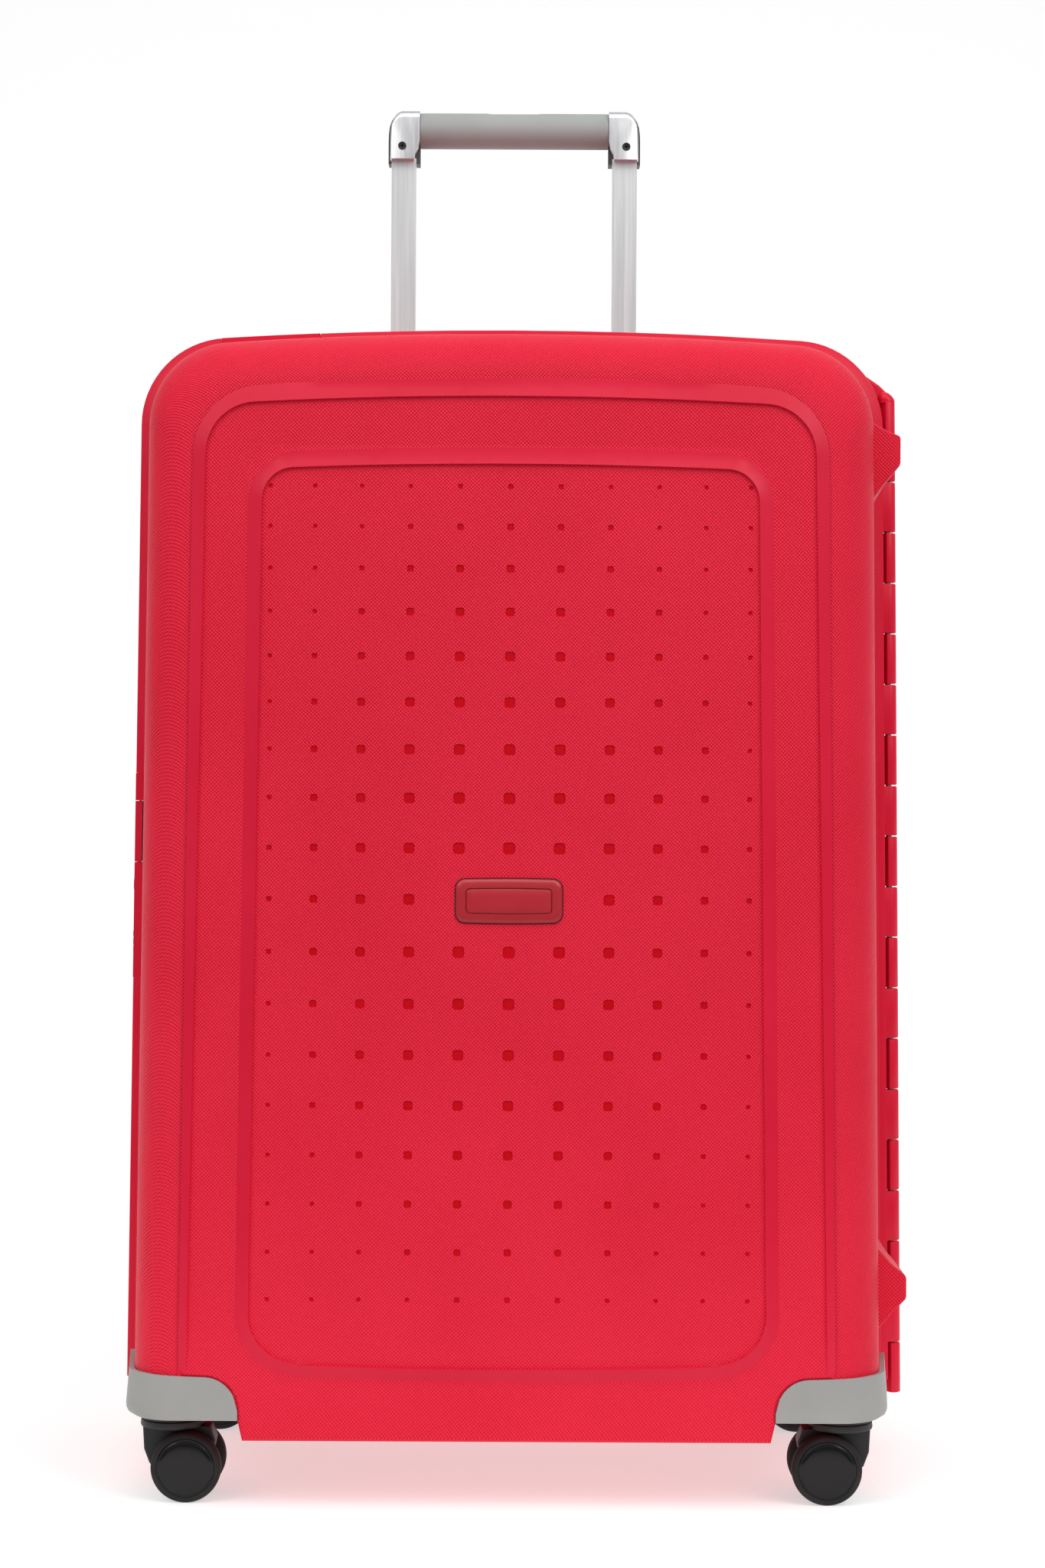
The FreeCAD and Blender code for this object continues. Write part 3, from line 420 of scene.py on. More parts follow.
RIM_ROWS = ((0.0, -3.0), (0.0, 0.0), (0.0, 4.8), (0.25, 5.3), (0.8, 5.5), (5.55, 5.5), (5.7, 5.5),
            (8.2, 5.5), (8.8, 5.2), (9.0, 4.6), (9.1, 1.0), (9.5, 0.3), (9.9, -0.5),
            (10.3, -0.5), (10.6, 0.0))


def other_knuckle(side, z):
    """True where the other shell's knuckle runs past this shell's rim."""
    if z < KNUCKLE_ENDS[0] - 5 or z > KNUCKLE_ENDS[-1]:
        return False
    index = next((i for i in range(KNUCKLES + 1) if z < KNUCKLE_ENDS[i + 1]), KNUCKLES)
    owner = REAR if index % 2 == 0 else FRONT
    return owner != side


def rim_out(side, mark, here, out):
    """How far a rim point stands out, less where a latch, the lock or a knuckle sits."""
    part, value = mark
    if out <= 0:
        return out
    if part == "floor" and LATCH_X[0] < value < LATCH_X[1]:
        return 0.0
    if part == "top" and value > -200 and value < LATCH_X[1]:
        return 0.0
    if part == "left_corner" and value > LATCH_SHARE:
        return 0.0
    if part == "left" and LOCK_Z[0] < value < LOCK_Z[1]:
        return 0.0
    if part == "right" and here < KNUCKLE_DEPTH and other_knuckle(side, value):
        return min(out, 2.5)
    return out


def rim_rings(side):
    """Rings of the raised rim, from the parting plane back to the wall."""
    full_floor = FLOOR - RIM_PROUD
    outer = ring(wall_form(-RIM_PROUD, CORNER + RIM_PROUD), full_floor, full_floor, None)
    rings = []
    for here, out in RIM_ROWS:
        under = min(out, 0.0)
        inner = ring(wall_form(-under, CORNER + under), FLOOR - under, FLOOR - under, None)
        row = []
        for mark, near, far in zip(MARKS, inner, outer):
            share = max(0.0, rim_out(side, mark, here, out)) / RIM_PROUD
            x = near[0] + (far[0] - near[0]) * share
            row.append((x, side * here, near[1] + (far[1] - near[1]) * share))
        rings.append(row)
    return rings


# ---- relief of the big faces ----

OUTER_BAND = {
    "outer": outline_form(206.6, 197.6, 43, 698.6, 6.5, 42),
    "ridge": outline_form(198.0, 187.4, 43, 687.6, 6.0, 32),
    "outer_foot": None,
    "ridge_foot": None,
    "low": 0.0,
    "rise": 3.4,
    "beyond": 1.6,
}
INNER_BAND = {
    "outer": outline_form(168.0, 161.4, 81, 656.0, 4.0, 32),
    "ridge": outline_form(159.6, 152.7, 89, 645.7, 3.5, 20),
    "outer_foot": (81.0, 37.0),
    "ridge_foot": (89.0, 30.0),
    "low": 1.6,
    "rise": 5.0,
    "beyond": 3.2,
}
FOOT_BOW = 3.5
BAND_FADE = 88.0
STEP_WIDTH = 0.45
GUARD_X, GUARD_TURN, GUARD_Z = 165.7, 21.0, 83.0
GUARD_TURN_X = 187.0
FACE_MIDDLE = 377.7
GRAINED, SMOOTH, DOT = 0, 1, 2


def inside_by(form, foot, x, z):
    """Distance inside an outline, negative outside. foot is (height, corner radius) or None."""
    x = abs(x)
    centre_x, centre_z = form["centre"]
    if x > centre_x and z > centre_z:
        return form["corner"] - math.hypot(x - centre_x, z - centre_z)
    side = (side_x(form, z) - x) * math.cos(form["side_angle"])
    top = form["arch"] - math.hypot(x, z - form["crest"] + form["arch"])
    if foot is None:
        return min(side, top)
    height, radius = foot
    bow = FOOT_BOW * (x / form["low"]) ** 2
    centre_x = side_x(form, height + radius) - radius
    if x > centre_x and z < height + FOOT_BOW + radius:
        return radius - math.hypot(x - centre_x, z - height - FOOT_BOW - radius)
    return min(side, top, z - height - bow)


def inside_edge(band, edge, x, z):
    """Distance inside a band's outer edge or its ridge."""
    return inside_by(band[edge], band[f"{edge}_foot"], x, z)


def band_level(band, x, z, base):
    """Height over the face given by one band on top of the level outside it."""
    outside = inside_edge(band, "outer", x, z)
    if outside <= 0:
        return base
    inside = inside_edge(band, "ridge", x, z)
    rise = band["rise"]
    if not band["outer_foot"]:
        rise = band["beyond"] + (rise - band["beyond"]) * clamped((z - BAND_FADE) / 6.7)
    if inside <= 0:
        return band["low"] + (rise - band["low"]) * outside / max(outside - inside, 0.001)
    return rise + (band["beyond"] - rise) * min(1.0, inside / STEP_WIDTH)


def guard_clear(x, z):
    """Distance from a corner guard's outline on the face, negative under the guard."""
    x = abs(x)
    turn_z = GUARD_Z - GUARD_TURN
    if x >= GUARD_TURN_X:
        return z - guard_top(x)
    if z > turn_z:
        return math.hypot(x - GUARD_TURN_X, z - turn_z) - GUARD_TURN
    return GUARD_TURN_X - GUARD_TURN - x


def guard_top(x):
    """Upper edge of a corner guard, from its curved inner end to the side."""
    x = abs(x)
    if x < GUARD_TURN_X:
        return GUARD_Z - GUARD_TURN + math.sqrt(max(0.0, GUARD_TURN ** 2 - (GUARD_TURN_X - x) ** 2))
    return GUARD_Z + 1.2 * min(1.0, (x - GUARD_TURN_X) / 38.0)


def relief(side, x, z):
    """Height of the big face's relief over its edge."""
    level = band_level(OUTER_BAND, x, z, 0.0)
    if abs(x) < 175 and z > 70:
        level = band_level(INNER_BAND, x, z, level)
    level *= clamped((guard_clear(x, z) - 0.3) / 1.6)
    level *= clamped((z - 47.2) / 5.0)
    if side == REAR:
        level *= clamped((abs(x) - CHANNEL_X - 2.0) / 8.0)
        if z < CHANNEL_FOOT + 8 and abs(x) <= CHANNEL_X + 10:
            level *= clamped((CHANNEL_FOOT - 2 - z) / 5.0)
    return level


def column_x(index):
    """Dot columns draw together slightly towards the sides."""
    return 31.0 * index - 0.059 * index ** 3


def row_z(index):
    """Dot rows draw together towards the top and, less, the bottom."""
    if index >= 0:
        return FACE_MIDDLE + 32.0 * index - 0.42 * index ** 2
    return FACE_MIDDLE + 32.6 * index + 0.23 * index ** 2


def dots(side):
    """Centre and size of every dot on a face."""
    found = []
    for row in range(-8, 10):
        for column in range(-5, 6):
            if side == FRONT and row == 0 and abs(column) < 2:
                continue
            if side == REAR and abs(column) < 4:
                continue
            x, z = column_x(column), row_z(row)
            reach = math.hypot(x / 152.0, (z - FACE_MIDDLE) / 262.0)
            found.append((x, z, max(2.6, 7.4 - 4.4 * reach ** 2.2)))
    return found


def rounded_square(x, z, size, inset):
    """Outline of a dot with well rounded corners."""
    side = size - 2 * inset
    return flattened(corner_arcs(side, side, side / 2 * DOT_TURN, 3, (x, z)))


DOT_DEEP = 0.55
DOT_WALL = 0.35
DOT_TURN = 0.55


def half_line(band, edge, shift):
    """The right half of a band's edge, from its foot to the middle of the top, moved in by shift."""
    form = band[edge]
    foot = band[f"{edge}_foot"]
    low = foot[0] + FOOT_BOW + foot[1] if foot else 57.5
    points = [(side_x(form, z) - shift, z) for z in np.linspace(low, form["centre"][1], 22)]
    reach = form["corner"] - shift
    centre_x, centre_z = form["centre"]
    for share in np.linspace(0, 1, 13)[1:-1]:
        turn = form["side_angle"] + share * (form["top_angle"] - form["side_angle"])
        points.append((centre_x + reach * math.cos(turn), centre_z + reach * math.sin(turn)))
    points += [(x, top_z(form, x) - shift) for x in np.linspace(corner_point(form, 1)[0], 0, 12)]
    if foot:
        height, radius = foot
        centre = (side_x(form, height + radius) - radius, height + FOOT_BOW + radius)
        bottom = [(x, height + FOOT_BOW * (x / form["low"]) ** 2 + shift)
                  for x in np.linspace(0, centre[0], 12)]
        points = bottom + arc(centre, radius - shift, -90, 0, 12)[1:-1] + points
    return points


def band_lines(side):
    """Lines that the face's mesh has to follow: (points, closed) with points of (x, z)."""
    lines = []
    for band in (OUTER_BAND, INNER_BAND):
        for edge, shift in (("outer", 0.0), ("ridge", 0.0), ("ridge", STEP_WIDTH)):
            right = half_line(band, edge, shift)
            left = [(-x, z) for x, z in right]
            if side == FRONT:
                lines.append((right + left[::-1][1:], bool(band["outer_foot"])))
                continue
            for half in (right, left):
                lines.append(([point for point in half if abs(point[0]) > CHANNEL_X + 1.5], False))
    for sign in (-1, 1):
        for gap in (0.3, 1.9):
            curve = arc((GUARD_TURN_X, GUARD_Z - GUARD_TURN), GUARD_TURN + gap, 180, 90, 10)
            line = [(GUARD_TURN_X - GUARD_TURN - gap, 48.5)] + curve + [(200.0, guard_top(200.0) + gap)]
            lines.append(([(sign * x, z) for x, z in line], False))
    return lines


def inside_polygon(polygon, x, z):
    """True inside a polygon, by the even-odd rule."""
    xs, zs = polygon[:, 0], polygon[:, 1]
    next_x, next_z = np.roll(xs, -1), np.roll(zs, -1)
    crossing = (zs > z) != (next_z > z)
    share = (z - zs[crossing]) / (next_z[crossing] - zs[crossing])
    at = xs[crossing] + share * (next_x[crossing] - xs[crossing])
    return bool(np.count_nonzero(at > x) % 2)


def face_mesh(side, border):
    """Triangles of the big face inside a border: (vertices, faces, material indices)."""
    unique = []
    for x, z in border:
        if not unique or math.hypot(x - unique[-1][0], z - unique[-1][1]) > 0.02:
            unique.append((x, z))
    if math.hypot(unique[0][0] - unique[-1][0], unique[0][1] - unique[-1][1]) < 0.02:
        unique.pop()
    polygon = np.array(unique)
    points = [Vector(point) for point in unique]
    edges = [(i, (i + 1) % len(unique)) for i in range(len(unique))]

    def add(line, closed):
        first = len(points)
        points.extend(Vector(point) for point in line)
        edges.extend((first + i, first + i + 1) for i in range(len(line) - 1))
        if closed:
            edges.append((first + len(line) - 1, first))

    for line, closed in band_lines(side):
        add(line, closed)
    spots = dots(side)
    for x, z, size in spots:
        for inset in (0.0, DOT_WALL):
            add(rounded_square(x, z, size, inset), True)
    spacing = 11.0
    for x in np.arange(-198.0, 199.0, spacing):
        for z in np.arange(64.0, 696.0, spacing):
            near_dot = any(abs(x - dot[0]) < 6.5 and abs(z - dot[1]) < 6.5 for dot in spots)
            if not near_dot and inside_polygon(polygon, x, z):
                points.append(Vector((x, z)))
    flat, _, triangles, _, _, _ = delaunay_2d_cdt(points, edges, [], 0, 0.001)
    centres = np.array([dot[:2] for dot in spots])
    sizes = np.array([dot[2] for dot in spots])

    def on_dot(x, z, inset):
        """True on the nearest dot, less an inset at its edge."""
        apart = np.abs(centres - (x, z)).max(axis=1)
        nearest = int(np.argmin(apart - sizes / 2))
        dx, dz = abs(x - centres[nearest][0]), abs(z - centres[nearest][1])
        return inside_square(dx, dz, sizes[nearest] / 2 - inset)

    vertices = []
    for x, z in flat:
        level = relief(side, x, z) - (DOT_DEEP if on_dot(x, z, DOT_WALL / 2) else 0.0)
        vertices.append((x, side * (DEPTH + level), z))
    faces = []
    indices = []
    for triangle in triangles:
        x = sum(flat[i][0] for i in triangle) / 3
        z = sum(flat[i][1] for i in triangle) / 3
        if inside_polygon(polygon, x, z):
            faces.append(list(triangle))
            smooth_or_grained = SMOOTH if on_band(x, z) else GRAINED
            indices.append(DOT if on_dot(x, z, 0.02) else smooth_or_grained)
    return vertices, faces, indices


def inside_square(dx, dz, half):
    """True inside a rounded square round the origin."""
    turn = half * DOT_TURN
    if dx > half or dz > half:
        return False
    if dx > half - turn and dz > half - turn:
        return math.hypot(dx - half + turn, dz - half + turn) <= turn
    return True


def on_band(x, z):
    """True on the smooth sloping bands, the ridge's step included."""
    for band in (OUTER_BAND, INNER_BAND):
        if not band["outer_foot"] and z < BAND_FADE:
            continue
        if inside_edge(band, "outer", x, z) > 0 > inside_edge(band, "ridge", x, z) - STEP_WIDTH:
            return True
    return False


def shell(side, materials):
    """One shell: rim, walls, relief face and inner skin in one closed mesh."""
    outer = rim_rings(side) + skin_rings(side, 0.0)
    inner = [outer[0]] + skin_rings(side, WALL)
    outer_faces, inner_faces = strips(outer), strips(inner)
    face_vertices, face_faces, face_indices = face_mesh(side, [(x, z) for x, _, z in outer[-1]])
    fill_vertices, fill_faces = flat_fill(inner[-1], side * (DEPTH - WALL))
    vertices, faces = merged([(flattened(outer), outer_faces), (flattened(inner), inner_faces),
                              (face_vertices, face_faces), (fill_vertices, fill_faces)])
    smooth_faces = (len(RIM_ROWS) + 1) * len(MARKS)
    indices = [SMOOTH] * smooth_faces + [GRAINED] * (len(outer_faces) - smooth_faces)
    indices += [SMOOTH] * len(inner_faces) + face_indices + [SMOOTH] * len(fill_faces)
    piece = new_object(f"{END[side]}_shell_moulding", vertices, faces, materials, 28, indices)
    return place(piece, f"{END[side]}_case", "shell_red", f"{END[side]}_shell")


# ---- materials: every colour and bump comes from nodes ----

def srgb(red, green, blue, alpha=1.0):
    """Linear colour from display values of 0 to 255."""
    values = [value / 255 for value in (red, green, blue)]
    return tuple(v / 12.92 if v <= 0.04045 else ((v + 0.055) / 1.055) ** 2.4 for v in values) + (alpha,)


def map_range(tree, value, before, after):
    """A socket that carries a value from one span of numbers to another."""
    made = tree.nodes.new("ShaderNodeMapRange")
    for entry, number in zip(("From Min", "From Max", "To Min", "To Max"), before + after):
        made.inputs[entry].default_value = number
    tree.links.new(value, made.inputs["Value"])
    return made.outputs["Result"]


class Recipe:
    """A node material with its Principled shader and object coordinates ready."""

    def __init__(self, name, roughness=0.5, metallic=0.0, coat=0.0, specular=0.5, sheen=0.0):
        self.material = bpy.data.materials.new(name)
        self.material.use_nodes = True
        self.tree = self.material.node_tree
        self.shader = self.tree.nodes["Principled BSDF"]
        self.shader.inputs["Roughness"].default_value = roughness
        self.shader.inputs["Metallic"].default_value = metallic
        self.shader.inputs["Coat Weight"].default_value = coat
        self.shader.inputs["Specular IOR Level"].default_value = specular
        self.shader.inputs["Sheen Weight"].default_value = sheen
        self.place = self.node("ShaderNodeTexCoord").outputs["Object"]

    def node(self, kind, **values):
        made = self.tree.nodes.new(kind)
        for key, value in values.items():
            if key in made.inputs:
                made.inputs[key].default_value = value
            else:
                setattr(made, key, value)
        return made

    def link(self, start, end):
        self.tree.links.new(start, end)

    def noise(self, scale, detail=3.0, stretch=None):
        made = self.node("ShaderNodeTexNoise", Scale=scale, Detail=detail)
        self.link(self.turned(stretch=stretch) if stretch else self.place, made.inputs["Vector"])
        return made.outputs["Fac"]

    def turned(self, rotation=(0, 0, 0), stretch=(1, 1, 1)):
        made = self.node("ShaderNodeMapping")
        made.inputs["Rotation"].default_value = rotation
        made.inputs["Scale"].default_value = stretch
        self.link(self.place, made.inputs["Vector"])
        return made.outputs["Vector"]

    def colours(self, factor, dark, light, low=0.3, high=0.7):
        """Base colour between two tones, driven by a factor."""
        ramp = self.node("ShaderNodeValToRGB")
        ramp.color_ramp.elements[0].position = low
        ramp.color_ramp.elements[1].position = high
        ramp.color_ramp.elements[0].color = dark
        ramp.color_ramp.elements[1].color = light
        self.link(factor, ramp.inputs["Fac"])
        self.link(ramp.outputs["Color"], self.shader.inputs["Base Color"])

    def rough(self, factor, low, high):
        self.link(map_range(self.tree, factor, (0.0, 1.0), (low, high)), self.shader.inputs["Roughness"])

    def sums(self, operation, *values):
        """A math node fed by sockets and plain numbers."""
        made = self.node("ShaderNodeMath", operation=operation)
        for entry, value in zip(made.inputs, values):
            if isinstance(value, float):
                entry.default_value = value
            else:
                self.link(value, entry)
        return made.outputs[0]

    def bump(self, height, depth, strength=1.0, before=None):
        made = self.node("ShaderNodeBump", Strength=strength, Distance=depth * MM)
        self.link(height, made.inputs["Height"])
        if before is not None:
            self.link(before, made.inputs["Normal"])
        self.link(made.outputs["Normal"], self.shader.inputs["Normal"])
        return made.outputs["Normal"]


# the darker red is the plastic's own; the lighter red is a painted highlight, reached on the grain's crests
RED_WITH_CREST_HIGHLIGHT = (srgb(205, 10, 38), srgb(248, 49, 77))
GRAIN_PITCH = 2.3
WAVE_UNIT = 1 / 6.283


def grained_red():
    """Moulded polypropylene with a regular grain: small bumps in diagonal rows, painted lighter on their
    crests as a highlight.
    """
    recipe = Recipe("polypropylene_grained", roughness=0.44, specular=0.12)
    split = recipe.node("ShaderNodeSeparateXYZ")
    recipe.link(recipe.place, split.inputs[0])
    rows = []
    for axis in ("X", "Z"):
        along = recipe.sums("ADD", split.outputs[axis], split.outputs["Y"])
        turn = recipe.sums("MULTIPLY", along, 2 * math.pi / (GRAIN_PITCH * MM))
        rows.append(recipe.sums("COSINE", turn))
    grain = recipe.sums("MULTIPLY", *rows)
    level = map_range(recipe.tree, grain, (-1.0, 1.0), (0.0, 0.7))
    # painted highlight: the base colour follows the grain and is lighter on its crests, with random tone
    # from noise on top
    tone_and_crest_highlight = recipe.sums("MULTIPLY_ADD", recipe.noise(9.0, 4.0), 0.3, level)
    recipe.colours(tone_and_crest_highlight, *RED_WITH_CREST_HIGHLIGHT, 0.1, 0.9)
    recipe.rough(recipe.noise(35.0, 3.0), 0.36, 0.5)
    coarse = recipe.bump(grain, 0.2, 1.0)
    recipe.bump(recipe.noise(1500.0, 2.0), 0.05, 0.3, coarse)
    return recipe.material


def smooth_red():
    """The same plastic, moulded smooth."""
    recipe = Recipe("polypropylene_smooth", roughness=0.36, specular=0.2)
    recipe.colours(recipe.noise(7.0, 4.0), srgb(210, 20, 52), srgb(220, 30, 62))
    recipe.rough(recipe.noise(60.0, 4.0), 0.28, 0.42)
    recipe.bump(recipe.noise(900.0, 3.0), 0.04, 0.3)
    return recipe.material


def dot_red():
    """The floor of the recessed dots, a little deeper in colour."""
    recipe = Recipe("polypropylene_dots", roughness=0.5, specular=0.15)
    recipe.colours(recipe.noise(12.0, 3.0), srgb(194, 0, 18), srgb(202, 0, 24))
    recipe.rough(recipe.noise(60.0, 3.0), 0.34, 0.46)
    recipe.bump(recipe.noise(900.0, 3.0), 0.03, 0.3)
    return recipe.material


def plain_plastic(name, dark, light, roughness, grain=700.0, depth=0.06, specular=0.5):
    """Moulded plastic with a fine spark-eroded grain."""
    recipe = Recipe(name, roughness=roughness, specular=specular)
    recipe.colours(recipe.noise(14.0, 4.0), dark, light)
    recipe.rough(recipe.noise(80.0, 4.0), roughness - 0.05, roughness + 0.07)
    recipe.bump(recipe.noise(grain, 3.0), depth, 0.5)
    return recipe.material


def gloss_black():
    """High-gloss black plastic with faint handling marks."""
    recipe = Recipe("hub_gloss", roughness=0.1, specular=0.32)
    recipe.colours(recipe.noise(20.0), srgb(10, 10, 12), srgb(16, 16, 18))
    recipe.rough(recipe.noise(240.0, 6.0), 0.06, 0.16)
    recipe.bump(recipe.noise(400.0, 5.0), 0.01, 0.2)
    return recipe.material


def rubber():
    recipe = Recipe("tread_rubber", roughness=0.75, specular=0.3)
    recipe.colours(recipe.noise(60.0, 5.0), srgb(26, 26, 27), srgb(42, 41, 40))
    recipe.bump(recipe.noise(1200.0, 4.0), 0.08, 0.5)
    return recipe.material


def brushed_metal(name, dark, light, roughness, stretch, depth=0.012):
    """Metal with fine lines along one direction."""
    recipe = Recipe(name, roughness=roughness, metallic=1.0)
    lines = recipe.noise(1.0, 4.0, stretch)
    recipe.colours(lines, dark, light)
    recipe.rough(lines, roughness - 0.06, roughness + 0.08)
    recipe.bump(lines, depth, 0.35)
    return recipe.material


def woven(name, dark, light, pitch, diagonal=0.0, sheen=0.3):
    """Plain weave: two crossed sets of threads with slubs."""
    recipe = Recipe(name, roughness=0.85, specular=0.2, sheen=sheen)
    crossed = []
    for turn in (diagonal, diagonal + 90):
        wave = recipe.node("ShaderNodeTexWave", Scale=WAVE_UNIT / (pitch * MM), Distortion=0.6, Detail=1.0)
        wave.bands_direction = "X"
        recipe.link(recipe.turned((0.0, math.radians(turn), 0.0)), wave.inputs["Vector"])
        crossed.append(wave.outputs["Fac"])
    mixed = recipe.sums("MULTIPLY", *crossed)
    recipe.colours(mixed, dark, light, 0.0, 0.8)
    recipe.bump(mixed, 0.25, 0.6)
    return recipe.material


def make_materials():
    return {
        "grained": grained_red(),
        "smooth": smooth_red(),
        "dots": dot_red(),
        "guard": plain_plastic("guard_plastic", srgb(150, 150, 147), srgb(160, 160, 157), 0.5, 500.0, 0.08),
        # the grip's grey leans slightly green-blue: a painted counter-tint that offsets the red light
        # bounced onto it from the case
        "grip": plain_plastic("grip_soft", srgb(154, 158, 156), srgb(164, 168, 166), 0.62, 1100.0, 0.1,
                              0.35),
        "crescent": plain_plastic("crescent_grey", srgb(72, 72, 74), srgb(84, 84, 86), 0.5),
        "black": plain_plastic("black_nylon", srgb(20, 20, 21), srgb(32, 32, 33), 0.5, 600.0, 0.1),
        "gloss": gloss_black(),
        "rubber": rubber(),
        "badge": plain_plastic("badge_frame_red", srgb(172, 28, 40), srgb(182, 36, 48), 0.36, 900.0, 0.03),
        "plate": plain_plastic("badge_plate_red", srgb(178, 30, 44), srgb(188, 40, 54), 0.3, 900.0, 0.02),
        # painted shade: the groove round the badge is the shell's red darkened as if in shadow
        "groove": plain_plastic("groove_painted_shade", srgb(70, 8, 16), srgb(84, 12, 20), 0.6),
        "tube": brushed_metal("anodised_tube", srgb(236, 239, 240), srgb(250, 252, 252), 0.38,
                              (900, 900, 14)),
        "chrome": brushed_metal("satin_chrome", srgb(214, 214, 216), srgb(232, 232, 234), 0.36,
                                (500, 500, 40)),
        "steel": brushed_metal("steel", srgb(150, 150, 152), srgb(180, 180, 182), 0.3, (60, 60, 700)),
        "lining": woven("lining_weave", srgb(34, 34, 38), srgb(58, 58, 64), 0.9, 45),
        "web": woven("webbing", srgb(18, 18, 20), srgb(44, 44, 48), 1.6),
    }


def hinge_axis(z):
    """The x of the leaning hinge axis at a height, in millimetres."""
    return HALF_LOW + RIM_PROUD + HINGE_OUT - (z - HINGE_LOW) * math.tan(HINGE_LEAN)


def knuckle_set(side, materials):
    """The shell's own hinge knuckles with rounded ends, blended into the rim by a leaf."""
    owned = range(0, KNUCKLES + 1, 2) if side == REAR else range(1, KNUCKLES, 2)
    levels = [(0.0, KNUCKLE_ROUND), (KNUCKLE_ROUND * 0.3, KNUCKLE_ROUND * 0.3), (KNUCKLE_ROUND, 0.0)]
    pieces = []
    for index in owned:
        low = KNUCKLE_ENDS[index] + KNUCKLE_GAP / 2
        high = KNUCKLE_ENDS[index + 1] - KNUCKLE_GAP / 2
        heights = [(low + rise, drop) for rise, drop in levels]
        heights += [(high - rise, drop) for rise, drop in levels[::-1]]
        loops = []
        for z, drop in heights:
            radius = KNUCKLE_RADIUS - drop
            middle = hinge_axis(z)
            profile = [(middle + x, side * y) for x, y in arc((0, 0), radius, -100, 90, 22)]
            profile += [(middle - 4.6, side * (radius + 0.4)), (middle - 5.2, side * 1.2)]
            loops.append([(x, y, z) for x, y in profile])
        pieces.append(loft(f"{END[side]}_knuckle", loops, materials, 32))
    return place(joined(f"{END[side]}_knuckles", pieces), f"{END[side]}_case", "shell_red")


def studio():
    """Pale floor with a curved backdrop, and soft lamps from the right, the left and above."""
    backdrop = Recipe("backdrop", roughness=0.8, specular=0.0)
    backdrop.shader.inputs["Emission Color"].default_value = (1.0, 1.0, 1.0, 1)
    # paler behind and under the case than in front, so the floor doesn't wash the front out
    place_y = backdrop.node("ShaderNodeSeparateXYZ")
    backdrop.link(backdrop.place, place_y.inputs[0])
    for socket, near, far in (("Base Color", 0.2, 0.6), ("Emission Strength", 0.04, 0.54)):
        falloff = map_range(backdrop.tree, place_y.outputs["Y"], (-0.75, -0.3), (near, far))
        backdrop.link(falloff, backdrop.shader.inputs[socket])
    half = 4.0
    back, bend = 1.6, 1.4
    profile = [(-2.6, 0.0), (back, 0.0)]
    for turn in np.linspace(0.1, math.pi / 2, 12):
        profile.append((back + bend * math.sin(turn), bend - bend * math.cos(turn)))
    profile.append((back + bend, 5.0))
    vertices = [(x, y, z) for y, z in profile for x in (-half, half)]
    faces = [[2 * i, 2 * i + 1, 2 * i + 3, 2 * i + 2] for i in range(len(profile) - 1)]
    mesh = bpy.data.meshes.new("floor")
    mesh.from_pydata(vertices, [], faces)
    mesh.materials.append(backdrop.material)
    mesh.polygons.foreach_set("use_smooth", [True] * len(faces))
    floor = add_object("floor", mesh)
    world = bpy.data.worlds.new("studio")
    world.use_nodes = True
    tree = world.node_tree
    sky = tree.nodes["Background"]
    sky.inputs["Strength"].default_value = 0.57
    split = tree.nodes.new("ShaderNodeSeparateXYZ")
    tree.links.new(tree.nodes.new("ShaderNodeTexCoord").outputs["Generated"], split.inputs[0])
    tree.links.new(map_range(tree, split.outputs["Z"], (-0.35, 0.5), (0.12, 1.0)), sky.inputs["Color"])
    bpy.context.scene.world = world
    bpy.context.scene.view_settings.view_transform = "Standard"
    target = Vector((0, 0, 0.7))
    for name, spot, wide, tall, power in (("key", (1.7, -1.8, 2.0), 1.5, 1.5, 26),
                                          ("fill", (-1.8, -1.8, 2.0), 1.5, 1.5, 17),
                                          ("top", (0.0, -1.2, 2.5), 2.0, 1.2, 22)):
        lamp = bpy.data.lights.new(name, "AREA")
        lamp.shape = "RECTANGLE"
        lamp.size, lamp.size_y, lamp.energy = wide, tall, power
        holder = add_object(name, lamp)
        holder.location = spot
        holder.rotation_euler = (target - Vector(spot)).to_track_quat("-Z", "Y").to_euler()


def camera():
    """Straight ahead at a little over half the case's height, turned a touch on its own axis."""
    data = bpy.data.cameras.new("camera")
    data.sensor_fit = "VERTICAL"
    data.sensor_height = 36.0
    data.lens = 69.2
    holder = add_object("camera", data)
    holder.location = (0.008, -2.005, 0.449)
    level = Matrix.Rotation(math.pi / 2, 3, "X")
    holder.rotation_euler = (level @ Matrix.Rotation(math.radians(0.28), 3, "Z")).to_euler()
    bpy.context.scene.camera = holder


